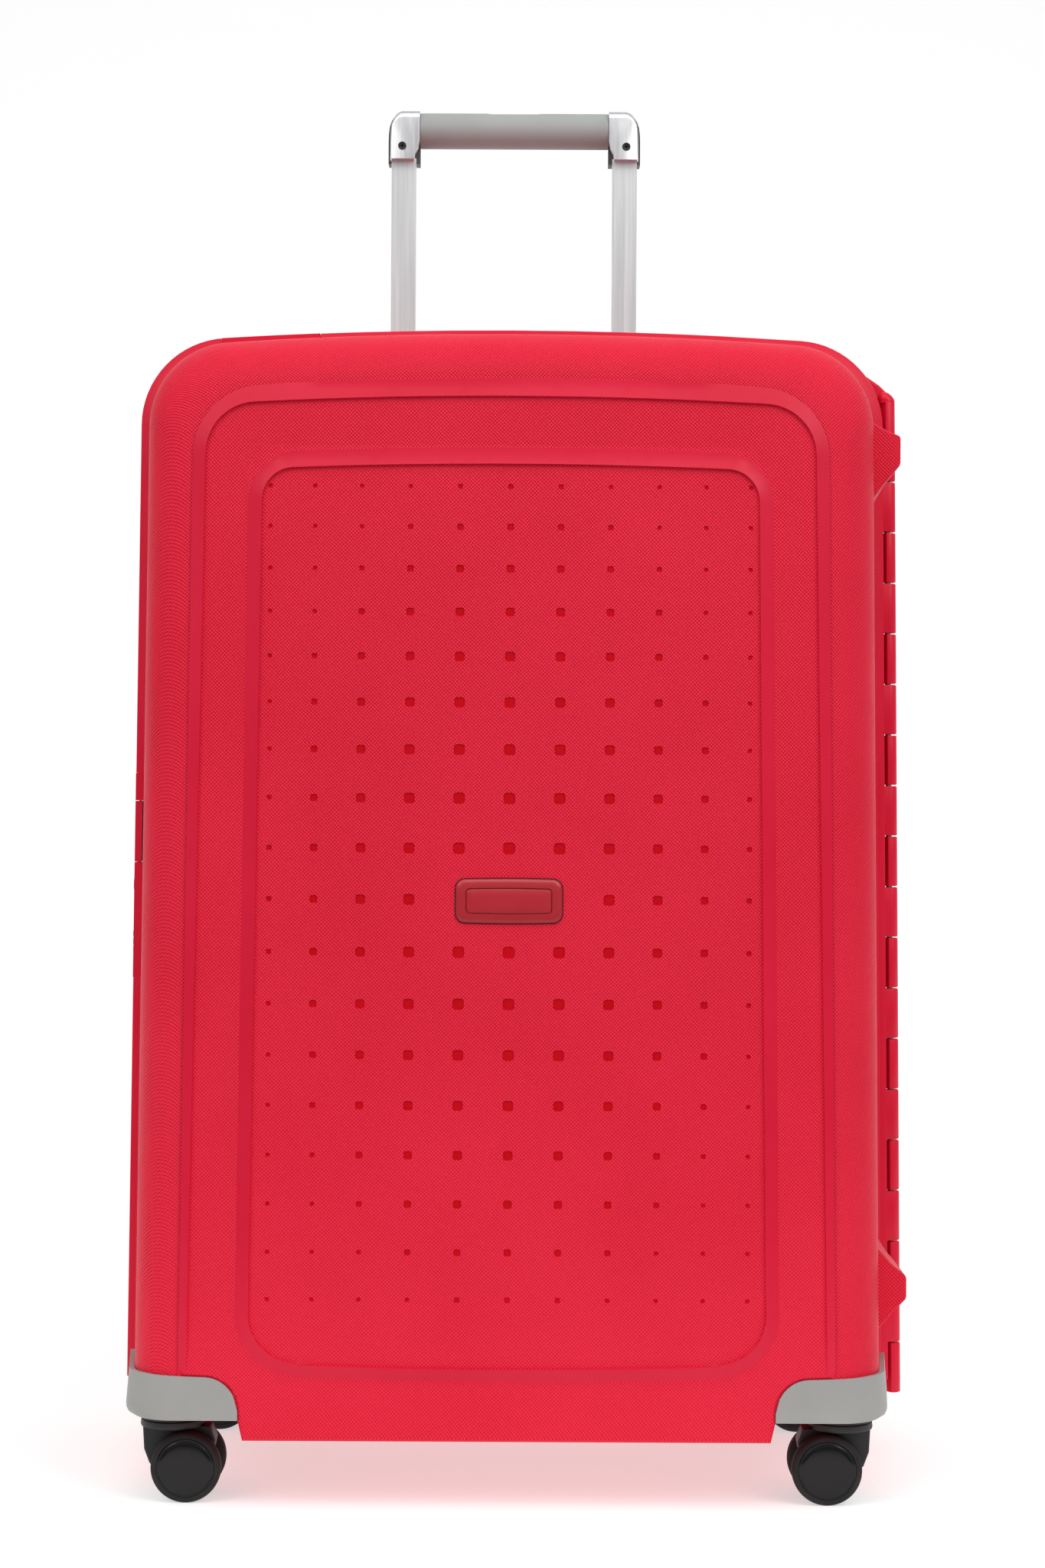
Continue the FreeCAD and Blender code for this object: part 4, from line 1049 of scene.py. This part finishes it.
def guard(side, sign, material):
    """A corner guard: a skin over the lower corner that runs from the face round to the side."""
    proud, side_proud = 1.5, 3.0
    bend = FACE_ROUND + proud
    centre_depth = DEPTH + proud - bend
    centre_in = centre_depth * math.tan(DRAFT) + bend / math.cos(DRAFT)
    low = WELL_TOP + 0.3
    lower_turn = 5.5
    lean = (HALF_HIGH - HALF_LOW) / (CREST - SAG - SIDE_FOOT)
    # the travel runs over the face, round the bend and along the side
    on_face, on_bend, on_side = 0.4, 0.35, 0.25

    def place_at(travel, z):
        """Point for a travel from 0 at the inner end of the face to 1 at the end of the side."""
        flare = 2.4 * clamped((92.0 - z) / 34.0)
        wide = HALF_LOW + side_proud + flare + lean * (z - SIDE_FOOT)
        lift = max(0.0, low + lower_turn - z)
        tuck = lower_turn - math.sqrt(max(0.0, lower_turn ** 2 - lift ** 2))
        if travel < on_face:
            return GUARD_X + (wide - centre_in - GUARD_X) * travel / on_face, DEPTH + proud
        if travel < on_face + on_bend:
            share = (travel - on_face) / on_bend
            turn = math.pi / 2 + (DRAFT - math.pi / 2) * share
            x = wide - centre_in + bend * math.cos(turn)
            return x - tuck * share, centre_depth + bend * math.sin(turn)
        start = centre_depth + bend * math.sin(DRAFT)
        depth = start + (WELL_Y - start) * (travel - on_face - on_bend) / on_side
        return wide - depth * math.tan(DRAFT) - tuck, depth

    columns = [on_face * step / 16 for step in range(16)]
    columns += [on_face + on_bend * step / 18 for step in range(18)]
    columns += [on_face + on_bend + on_side * step / 8 for step in range(9)]
    steps = 16
    rows = []
    for travel in columns:
        high = max(guard_top(max(place_at(travel, 80.0)[0], GUARD_X + 0.05)), low + 4.0)
        row = []
        for step in range(steps + 1):
            z = low + (high - low) * (step / steps)
            x, depth = place_at(travel, z)
            row.append((sign * x, side * depth, z))
        rows.append(row)
    hand = "left" if sign < 0 else "right"
    piece = surface(f"{END[side]}_corner_guard_{hand}", rows, [material], 50, around=False)
    if piece.data.polygons[0].normal.y * side < 0:
        piece.data.flip_normals()
    thicken(piece, 3.2, -1)
    bevel(piece, 0.5, 2, 50)
    return place(piece, f"{END[side]}_case", "guard_grey", f"{END[side]}_guard_{hand}")


def wing(side, name, root, tip, tip_x, material):
    """A side foot beside the hinge: a tapered block with a flat tip. Root and tip are spans in z."""
    wall = side_x(wall_form(0.0, CORNER), sum(root) / 2)
    loops = []
    for depth in (49.5, 104.5):
        start = wall - depth * math.tan(DRAFT) - 3.0
        shoulder = (tip_x - start) * 0.55 + start
        high = tip[1] + (root[1] - tip[1]) * 0.38
        low = tip[0] - (tip[0] - root[0]) * 0.42
        form = [(start, root[0]), (shoulder, low), (tip_x, tip[0]), (tip_x, tip[1]), (shoulder, high),
                (start, root[1])]
        loops.append([(x, side * depth, z) for x, z in form])
    piece = loft(f"{END[side]}_{name}_foot", loops, [material])
    bevel(piece, 1.6, 3, 12)
    return place(piece, f"{END[side]}_case", "shell_red")


def hinge_fairing(material):
    """The rear shell's rim runs straight out from its corner to a dome over the top of the hinge."""
    outline = [(205.0, 722.0), (208.0, 737.2), (220.0, 730.6), (234.0, 722.2), (244.0, 715.4),
               (249.0, 710.6), (252.0, 705.6), (253.6, 699.0), (254.4, 652.0), (240.0, 652.0),
               (236.0, 690.0)]
    fin = prism("fin", outline, "y", -0.4, RIM_REACH, [material], 1.6)
    rings = []
    for rise in np.linspace(-1.5, 6.0, 12):
        radius = KNUCKLE_RADIUS * math.sqrt(max(0.02, 1 - (max(0.0, rise) / 6.2) ** 2))
        z = KNUCKLE_ENDS[-1] + rise
        middle = hinge_axis(z) - 0.3 * max(0.0, rise)
        rings.append([(middle + x, y, z) for x, y in arc((0, 0), radius, 0, 345, 23)])
    dome = loft("dome", rings, [material])
    return place(joined("hinge_fairing", [fin, dome]), "rear_case", "shell_red")


def badge(looks):
    """Barrel-sided blank badge: frame with a rounded edge, a groove painted dark red as shade, and a crowned
    plate.
    """
    low, high = [[value / MM for value in corner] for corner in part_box("badge_frame")]
    centre = ((low[0] + high[0]) / 2, (low[2] + high[2]) / 2)
    back, front = -DEPTH - 2.0, low[1]

    def barrel(wide, tall, bulge, turn):
        """Rounded rectangle whose long sides bow outwards."""
        points = []
        half_w, half_t = wide / 2, tall / 2
        for quarter, corner in enumerate(corner_arcs(wide, tall, turn, 6)):
            points += corner
            if quarter in (0, 2):
                sign = 1 if quarter == 0 else -1
                xs = np.linspace(sign * (half_w - turn), -sign * (half_w - turn), 12)[1:-1]
                points += [(x, sign * half_t) for x in xs]
        return [(centre[0] + x, centre[1] + z * (1 + bulge * (1 - (x / half_w) ** 2))) for x, z in points]

    def solid(name, forms, look):
        """Barrels one behind the other, each (wide, tall, bulge, turn, y), closed by the last."""
        loops = [[(x, y, z) for x, z in barrel(*form)] for *form, y in forms]
        return loft(name, loops, [look], start_cap=False)

    wide, tall = high[0] - low[0], high[2] - low[2]
    surround = ((wide, tall - 1.0, 0.04, 5.5, back), (wide, tall - 1.0, 0.04, 5.5, front + 1.5),
                (wide - 1.0, tall - 2.0, 0.04, 5.2, front + 0.8), (wide - 5.0, tall - 6.0, 0.05, 4.2, front),
                (53.4, 15.6, 0.06, 2.6, front), (52.8, 15.0, 0.06, 2.4, front + 1.0))
    place(solid("badge_surround", surround, looks["badge"]), "front_case", "badge_red", "badge_frame")
    plate = ((51.8, 13.9, 0.06, 2.2, front + 1.2), (51.8, 13.9, 0.06, 2.2, front + 0.35),
             (50.8, 12.9, 0.06, 2.0, front + 0.05), (40.0, 6.0, 0.06, 1.5, front))
    place(solid("badge_blank_plate", plate, looks["plate"]), "front_case", "badge_red", "badge_plate")
    # painted shade: a flat dark red ring, just proud of the face, stands for the shaded groove round the
    # badge
    groove = prism("badge_groove", barrel(wide + 1.4, tall + 0.4, 0.04, 6.1), "y", back, -DEPTH - 3.3,
                   [looks["groove"]])
    place(groove, "front_case", "badge_red")


def caster_looks(tag, looks):
    """Domed gloss hub discs in rubber tyres, on a black body with an outboard fender."""
    low, high = [[value / MM for value in corner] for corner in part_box(f"caster_tyres_{tag}")]
    centre = [(a + b) / 2 for a, b in zip(low, high)]
    sign_x = math.copysign(1, centre[0])
    hubs, tyres = [], []
    for side in (-1, 1):
        profile = [(9.7, 3.2), (9.7, 17.9), (10.0, 18.2), (20.9, 18.2), (21.5, 17.95), (21.75, 17.3),
                   (21.6, 16.9), (21.9, 16.4), (22.2, 14.0), (22.4, 10.0), (22.5, 5.0), (22.5, 0.0)]
        hubs.append(lathe(f"hub_{side}", [(side * along, radius) for along, radius in profile], centre, "y",
                          [looks["gloss"]], 96, 30))
        tread = [(9.9, 18.25), (9.9, 19.6), (10.5, 20.9), (11.8, 21.8), (13.4, 22.0), (18.0, 22.0),
                 (19.8, 21.8), (21.0, 20.9), (21.5, 19.6), (21.5, 18.25), (9.9, 18.25)]
        tyres.append(lathe(f"tyre_{side}", [(side * along, radius) for along, radius in tread], centre, "y",
                           [looks["rubber"]], 96, 40))
    place(joined(f"hub_discs_{tag}", hubs), f"wheel_{tag}", "hub_black", f"caster_hubs_{tag}")
    place(joined(f"tyre_rings_{tag}", tyres), f"wheel_{tag}", "tyre_rubber", f"caster_tyres_{tag}")
    swivel_x = centre[0] + sign_x * 10.0
    body = [(centre[0] - sign_x * 14.0, 46.0), (centre[0] - sign_x * 17.5, 37.0)]
    body += [(centre[0] + sign_x * x, 22.0 + z) for x, z in arc((0, 0), 17.0, 160, 320, 20)]
    body += [(swivel_x + sign_x * x, z) for x, z in ((8.0, 17.0), (14.0, 22.0), (17.4, 31.0), (18.2, 46.0))]
    fork = prism("fork_body", body, "y", centre[1] - 8.6, centre[1] + 8.6, [looks["black"]], 1.4)
    swivel = (swivel_x, centre[1], 0.0)
    disc = [(49.7, 0.0), (49.7, 19.4), (49.2, 20.0), (46.3, 20.3), (45.2, 19.9), (45.0, 19.0), (45.0, 0.0)]
    plate = lathe("turning_plate", disc, swivel, "z", [looks["black"]], 96, 30)
    pin = [(49.0, 5.0), (55.3, 5.0), (55.5, 4.6), (55.5, 0.0)]
    stem = lathe("stem", pin, swivel, "z", [looks["black"]], 32, 30)
    body = joined(f"caster_body_{tag}", [fork, plate, stem])
    place(body, f"caster_{tag}", "black_plastic", f"caster_fork_{tag}")


def caster_seats(side, looks):
    """The round seats between a shell's well ceiling and its two casters."""
    end = "front" if side == FRONT else "rear"
    profile = [(49.9, 5.4), (49.9, 19.8), (50.4, 20.4), (55.9, 20.6), (55.9, 5.4), (49.9, 5.4)]
    seats = [lathe(f"seat_{sign}", profile, (sign * 210.0, side * 107.0, 0.0), "z", [looks["black"]], 96, 30)
             for sign in (-1, 1)]
    place(joined(f"{end}_caster_seats", seats), f"{end}_case", "black_plastic", f"{end}_caster_housings")


def trolley_looks(looks):
    """Satin brackets with a dark rear half, a soft grip between them and cross-recess screws."""
    low, high = [[value / MM for value in corner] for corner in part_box("grip_tube")]
    axis = ((low[1] + high[1]) / 2, (low[2] + high[2]) / 2)
    top = high[2]
    end_x = high[0]
    radius = (high[2] - low[2]) / 2
    bore = 9.5
    half = [(-end_x, bore), (-end_x, radius - 0.7), (-end_x + 0.5, radius - 0.1), (-end_x + 1.4, radius)]
    profile = half + [(-along, reach) for along, reach in half[::-1]] + half[:1]
    tube = lathe("grip", profile, (0.0, axis[0], axis[1]), "x", [looks["grip"]], 128, 30)
    slot_form = rounded_bar(39.2, 11.9, 5.0)
    slot_form = [(x, y + axis[0]) for x, y in slot_form]
    cutter = prism("cutter", slot_form, "z", axis[1], top + 4, [looks["grip"]])
    opening = tube.modifiers.new("slot", "BOOLEAN")
    opening.object = cutter
    opening.operation = "DIFFERENCE"
    with bpy.context.temp_override(object=tube, active_object=tube):
        bpy.ops.object.modifier_apply(modifier="slot")
    bpy.data.objects.remove(cutter)
    tidy(tube, 30)
    place(tube, "trolley", "grip_grey", "grip_tube")
    levels = [(axis[1] + 6.0, 0.0), (top - 0.9, 0.0), (top - 0.5, 0.3), (top - 0.35, 0.9)]
    wide, deep = 38.4, 11.1
    loops = []
    for z, slim in levels:
        scale_x, scale_y = (wide - 2 * slim) / wide, (deep - 2 * slim) / deep
        loop = []
        for x, y in rounded_bar(wide, deep, 4.6):
            drop = radius - math.sqrt(radius ** 2 - (y * scale_y) ** 2) if z > axis[1] + 7 else 0.0
            loop.append((x * scale_x, axis[0] + y * scale_y, z - drop))
        loops.append(loop)
    button = loft("grip_push_button", loops, [looks["grip"]], 35)
    place(button, "grip_button_set", "grip_grey", "grip_button")
    for sign, hand in ((-1, "left"), (1, "right")):
        bracket_looks(sign, hand, end_x, top, axis[0], looks)


def bracket_half(name, outline, front, back, top, turn, material):
    """A bracket half: its top edge and outer side roll over to the front with their own radii."""
    top_turn, side_turn = turn
    inner = min(abs(x) for x, _ in outline)
    loops = []
    for angle in np.linspace(0, math.pi / 2, 8):
        roll = 1 - math.sin(angle)
        y = front + max(top_turn, 0.5) * (1 - math.cos(angle))
        loop = []
        for x, z in outline:
            near_top = clamped((z - top + 12.0) / 12.0)
            outward = clamped((abs(x) - inner) / 6.0)
            moved_x = x - math.copysign(side_turn * roll * outward, x)
            loop.append((moved_x, y, z - top_turn * roll * near_top))
        loops.append(loop)
    loops.append([(x, back, z) for x, z in outline])
    piece = loft(name, loops, [material], 32)
    bevel(piece, 0.35, 2, 32)
    return piece


def bracket_looks(sign, hand, inner, top, axis_y, looks):
    """One bracket in two halves. Its outline is given from the inner top corner, in the XZ plane."""
    outer = 89.35
    curve = [(outer - 1.7, top - 20.0), (outer - 1.9, top - 14.0), (outer - 2.6, top - 9.0),
             (outer - 4.0, top - 5.0), (outer - 5.8, top - 2.2), (outer - 7.8, top - 0.7),
             (outer - 10.0, top)]
    front = [(inner, top), (inner, top - 21.5), (inner + 0.9, top - 25.0), (inner + 3.8, top - 31.0),
             (inner + 4.0, top - 34.5), (outer - 1.5, top - 34.5), *curve]
    rear = [(inner, top - 0.5), (inner, top - 36.0), (outer, top - 36.0)]
    rear += [(x + 1.7, z - 0.4) for x, z in curve[:-1]] + [(outer - 9.0, top - 0.5)]
    middle = axis_y - 1.0
    front = [(sign * x, z) for x, z in front]
    rear = [(sign * x, z) for x, z in rear]
    chrome = bracket_half("front_half", front, axis_y - 13.0, middle, top, (5.5, 1.0), looks["chrome"])
    dark = bracket_half("rear_half", rear, middle, axis_y + 13.0, top, (0.0, 0.0), looks["crescent"])
    centre = (sign * 79.2, axis_y - 13.05, top - 25.5)
    screw = lathe("screw", [(0.3, 2.9), (-0.2, 2.9), (-0.35, 2.6), (-0.2, 2.2), (-0.12, 0.0)], centre, "y",
                  [looks["black"]], 32, 40)
    bar = [(-1.7, -0.35), (1.7, -0.35), (1.7, 0.35), (-1.7, 0.35)]
    crosses = []
    for turned in (False, True):
        form = [(centre[0] + (z if turned else x), centre[2] + (x if turned else z)) for x, z in bar]
        crosses.append(prism("cross", form, "y", centre[1] - 0.2, centre[1] + 0.1, [looks["gloss"]]))
    place(joined(f"bracket_{hand}", [chrome, dark]), "trolley", "bracket_chrome", f"grip_bracket_{hand}")
    nodes = ["bracket_screws"] if sign < 0 else []
    place(joined(f"bracket_screw_{hand}", [screw, *crosses]), "trolley", "steel", *nodes)


def smooth_path(path, steps):
    """A Catmull-Rom curve through the points of a path."""
    spots = []
    for index in range(len(path) - 1):
        before, start = path[max(0, index - 1)], path[index]
        end, after = path[index + 1], path[min(len(path) - 1, index + 2)]
        for step in range(steps):
            t = step / steps
            spots.append(tuple(0.5 * (2 * b + (c - a) * t + (2 * a - 5 * b + 4 * c - d) * t ** 2
                                      + (3 * b - a - 3 * c + d) * t ** 3)
                               for a, b, c, d in zip(before, start, end, after)))
    return spots + [path[-1]]


def carry_handle(name, body, slot, pivot, outwards, along, looks):
    """A folding grip: a swept, slightly bowed bar with softened arms."""
    reach, half = 32.0, 60.0
    arm = [(half - 4.2, -4.0), (half - 4.2, 12.0), (half - 6.5, 25.0), (half - 15.0, reach - 1.0)]
    spots = smooth_path([(-u, v) for u, v in arm] + [(0.0, reach + 0.4)] + arm[::-1], 8)
    steps = 24
    loops = []
    for index, (u, v) in enumerate(spots):
        ahead = spots[min(index + 1, len(spots) - 1)]
        behind = spots[max(index - 1, 0)]
        tangent = Vector((ahead[0] - behind[0], ahead[1] - behind[1], 0)).normalized()
        across = Vector((-tangent.y, tangent.x, 0))
        share = clamped((v - 10.0) / 16.0)
        wide = 4.0 + 3.6 * share
        tall = 5.0 + 2.8 * share
        loop = []
        for step in range(steps):
            turn = 2 * math.pi * step / steps
            soft_x = math.copysign(abs(math.cos(turn)) ** 0.8, math.cos(turn)) * wide
            soft_z = math.copysign(abs(math.sin(turn)) ** 0.8, math.sin(turn)) * tall
            point = Vector((u, v, 0)) + across * soft_x + Vector((0, 0, soft_z))
            where = Vector(pivot) + Vector(along) * point.x + Vector((0, point.y, 0))
            loop.append(tuple(where + Vector(outwards) * point.z))
        loops.append(loop)
    place(loft(f"{name}_grip", loops, [looks["grip"]], 50), body, slot, name)


def lining(side, looks):
    """Woven lining that follows the inside of a shell."""
    end = END[side]
    rings = skin_rings(side, LINING_INSET, 2.0)
    rings = [[(x, side * 1.6, z) for x, _, z in rings[0]]] + rings
    vertices, faces = merged([(flattened(rings), strips(rings)),
                              flat_fill(rings[-1], side * (DEPTH - LINING_INSET))])
    piece = new_object(f"{end}_lining_cloth", vertices, faces, [looks["lining"]], 40)
    thicken(piece, 0.7)
    place(piece, f"{end}_case", "lining_fabric", f"{end}_lining")


def divider(looks):
    """Zipped panel over the front half: cloth with a gathered pocket, a piped edge and a zip."""
    outline = ring(wall_form(6.6, CORNER - 6.6), FLOOR + 7.0, FLOOR + 7.0, None)
    steps = 14
    rows = []
    for step in range(steps + 1):
        share = 1.0 - step / steps
        edge = min(1.0, (1.0 - share) * 6.0)
        row = []
        for outline_x, outline_z in outline:
            x, z = outline_x * share, MIDDLE_Z + (outline_z - MIDDLE_Z) * share
            wave = 0.5 * math.sin(x / 17.0 + 0.4 * math.sin(z / 31.0)) * math.sin(z / 23.0)
            row.append((x, -6.2 - edge + wave * edge, z))
        rows.append(row)
    piece = surface("divider_cloth", rows, [looks["lining"]], 60)
    thicken(piece, 0.8)
    place(piece, "front_case", "lining_fabric", "divider_panel")
    shrunk = ring(wall_form(13.0, CORNER - 12.0), FLOOR + 13.5, FLOOR + 13.5, None)
    zip_line = tape_along("divider_zip", [(x, -5.6, z) for x, z in shrunk], 7.0, 1.2, looks["web"])
    place(zip_line, "front_case", "strap_fabric")


def tape_along(name, points, wide, thick, material):
    """A flat closed tape that follows a loop lying in the XZ plane."""
    kept = [points[0]]
    for point in points[1:]:
        if math.dist(point, kept[-1]) > 4.0:
            kept.append(point)
    if math.dist(kept[0], kept[-1]) < 4.0:
        kept.pop()
    half = [(-0.5, 0.0), (-0.5, 1.0), (-0.12, 1.0), (-0.1, 1.6)]
    section_points = half + [(-reach, rise) for reach, rise in half[::-1]]
    rows = []
    for index, (x, y, z) in enumerate(kept):
        ahead, behind = kept[(index + 1) % len(kept)], kept[index - 1]
        tangent = Vector((ahead[0] - behind[0], 0, ahead[2] - behind[2])).normalized()
        across = Vector((tangent.z, 0, -tangent.x))
        row = []
        for reach, rise in section_points:
            spot = Vector((x, y, z)) + across * reach * wide
            row.append((spot.x, y + rise * thick, spot.z))
        rows.append(row)
    return surface(name, rows, [material], 50, ends_meet=True)


def ribbons(looks):
    """Two crossed elastic ribbons that rise over the buckle at their middle."""
    wide, half_length = 38.0, 396.0
    pieces = []
    for sign in (-1, 1):
        turn = sign * math.radians(33)
        direction = Vector((math.sin(turn), 0, math.cos(turn)))
        across = Vector((math.cos(turn), 0, -math.sin(turn)))
        rows = []
        for along in np.linspace(-half_length, half_length, 121):
            row = []
            for reach in np.linspace(-0.5, 0.5, 9):
                spot = direction * along + across * reach * wide
                lift = 0.5 * sign * math.exp(-(along / 40.0) ** 2) + 0.25 * math.cos(reach * math.pi * 6)
                row.append((spot.x, 8.0 - lift, spot.z + MIDDLE_Z))
            rows.append(row)
        strip = surface(f"strip_{sign}", rows, [looks["web"]], 60, around=False)
        thicken(strip, 1.1)
        pieces.append(strip)
    place(joined("packing_ribbons", pieces), "rear_case", "strap_fabric", "rear_cross_ribbons")
    clasp = []
    for name, form, near, far, look, edge in (("base", (62.0, 38.0, 9.0), 4.6, 6.7, "black", 0.8),
                                              ("button", (26.0, 16.0, 6.0), 3.8, 4.8, "guard", 0.4),
                                              ("back", (52.0, 30.0, 8.0), 9.4, 11.0, "black", 0.6)):
        outline = [(x, z + MIDDLE_Z) for x, z in rounded_bar(*form)]
        clasp.append(prism(f"buckle_{name}", outline, "y", near, far, [looks[look]], edge))
    place(joined("ribbon_clasp", clasp), "rear_case", "black_plastic", "ribbon_buckle")


def dress_cad_nodes(looks):
    """Carried-over nodes keep their shape, with eased edges and a node material."""
    wear = {
        "smooth": (("top_latch_lever", "bottom_latch_lever", "center_latch_lever", "lock_housing"), 0.6),
        "black": (("lock_dial_1", "lock_dial_2", "lock_dial_3", "trolley_base", "trolley_top_housing",
                   "handle_mounts"), 0.9),
        "guard": (("lock_button",), 0.5),
        "tube": (("trolley_inner_tubes", "trolley_outer_tubes"), 1.3),
        "steel": (("hinge_pin", "latch_pins", "lock_cylinder", "lock_pin_left", "lock_pin_right",
                   "handle_pins", "release_rods", "caster_axle_fl", "caster_axle_fr", "caster_axle_rl",
                   "caster_axle_rr"), 0.25),
    }
    for look, (nodes, width) in wear.items():
        for node in nodes:
            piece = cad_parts[node]
            piece.data.materials.clear()
            piece.data.materials.append(looks[look])
            change = bevel(piece, width, 2, 40)
            change.use_clamp_overlap = True


# the feet beside the hinge: name, spans in z of the root and the tip, and the tip's x
FEET = (("low", (103.0, 160.0), (125.5, 139.5), 251.8), ("high", (626.5, 679.5), (651.5, 669.5), 245.6))

looks = make_materials()
red = [looks["grained"], looks["smooth"], looks["dots"]]
camera()
studio()
for side in (FRONT, REAR):
    shell(side, red)
    knuckle_set(side, [looks["smooth"]])
    lining(side, looks)
    caster_seats(side, looks)
    for sign in (-1, 1):
        guard(side, sign, looks["guard"])
    for name, root, tip, tip_x in FEET:
        wing(side, name, root, tip, tip_x, looks["grained"])
hinge_fairing(looks["smooth"])
badge(looks)
divider(looks)
ribbons(looks)
trolley_looks(looks)
carry_handle("top_handle", "top_handle", "grip_grey", (0, 50, 746), (0, 0, 1), (1, 0, 0), looks)
carry_handle("side_handle", "side_handle", "grip_grey", (-247, 50, 388), (-1, 0, 0), (0, 0, 1), looks)
for tag in ("fl", "fr", "rl", "rr"):
    caster_looks(tag, looks)
dress_cad_nodes(looks)
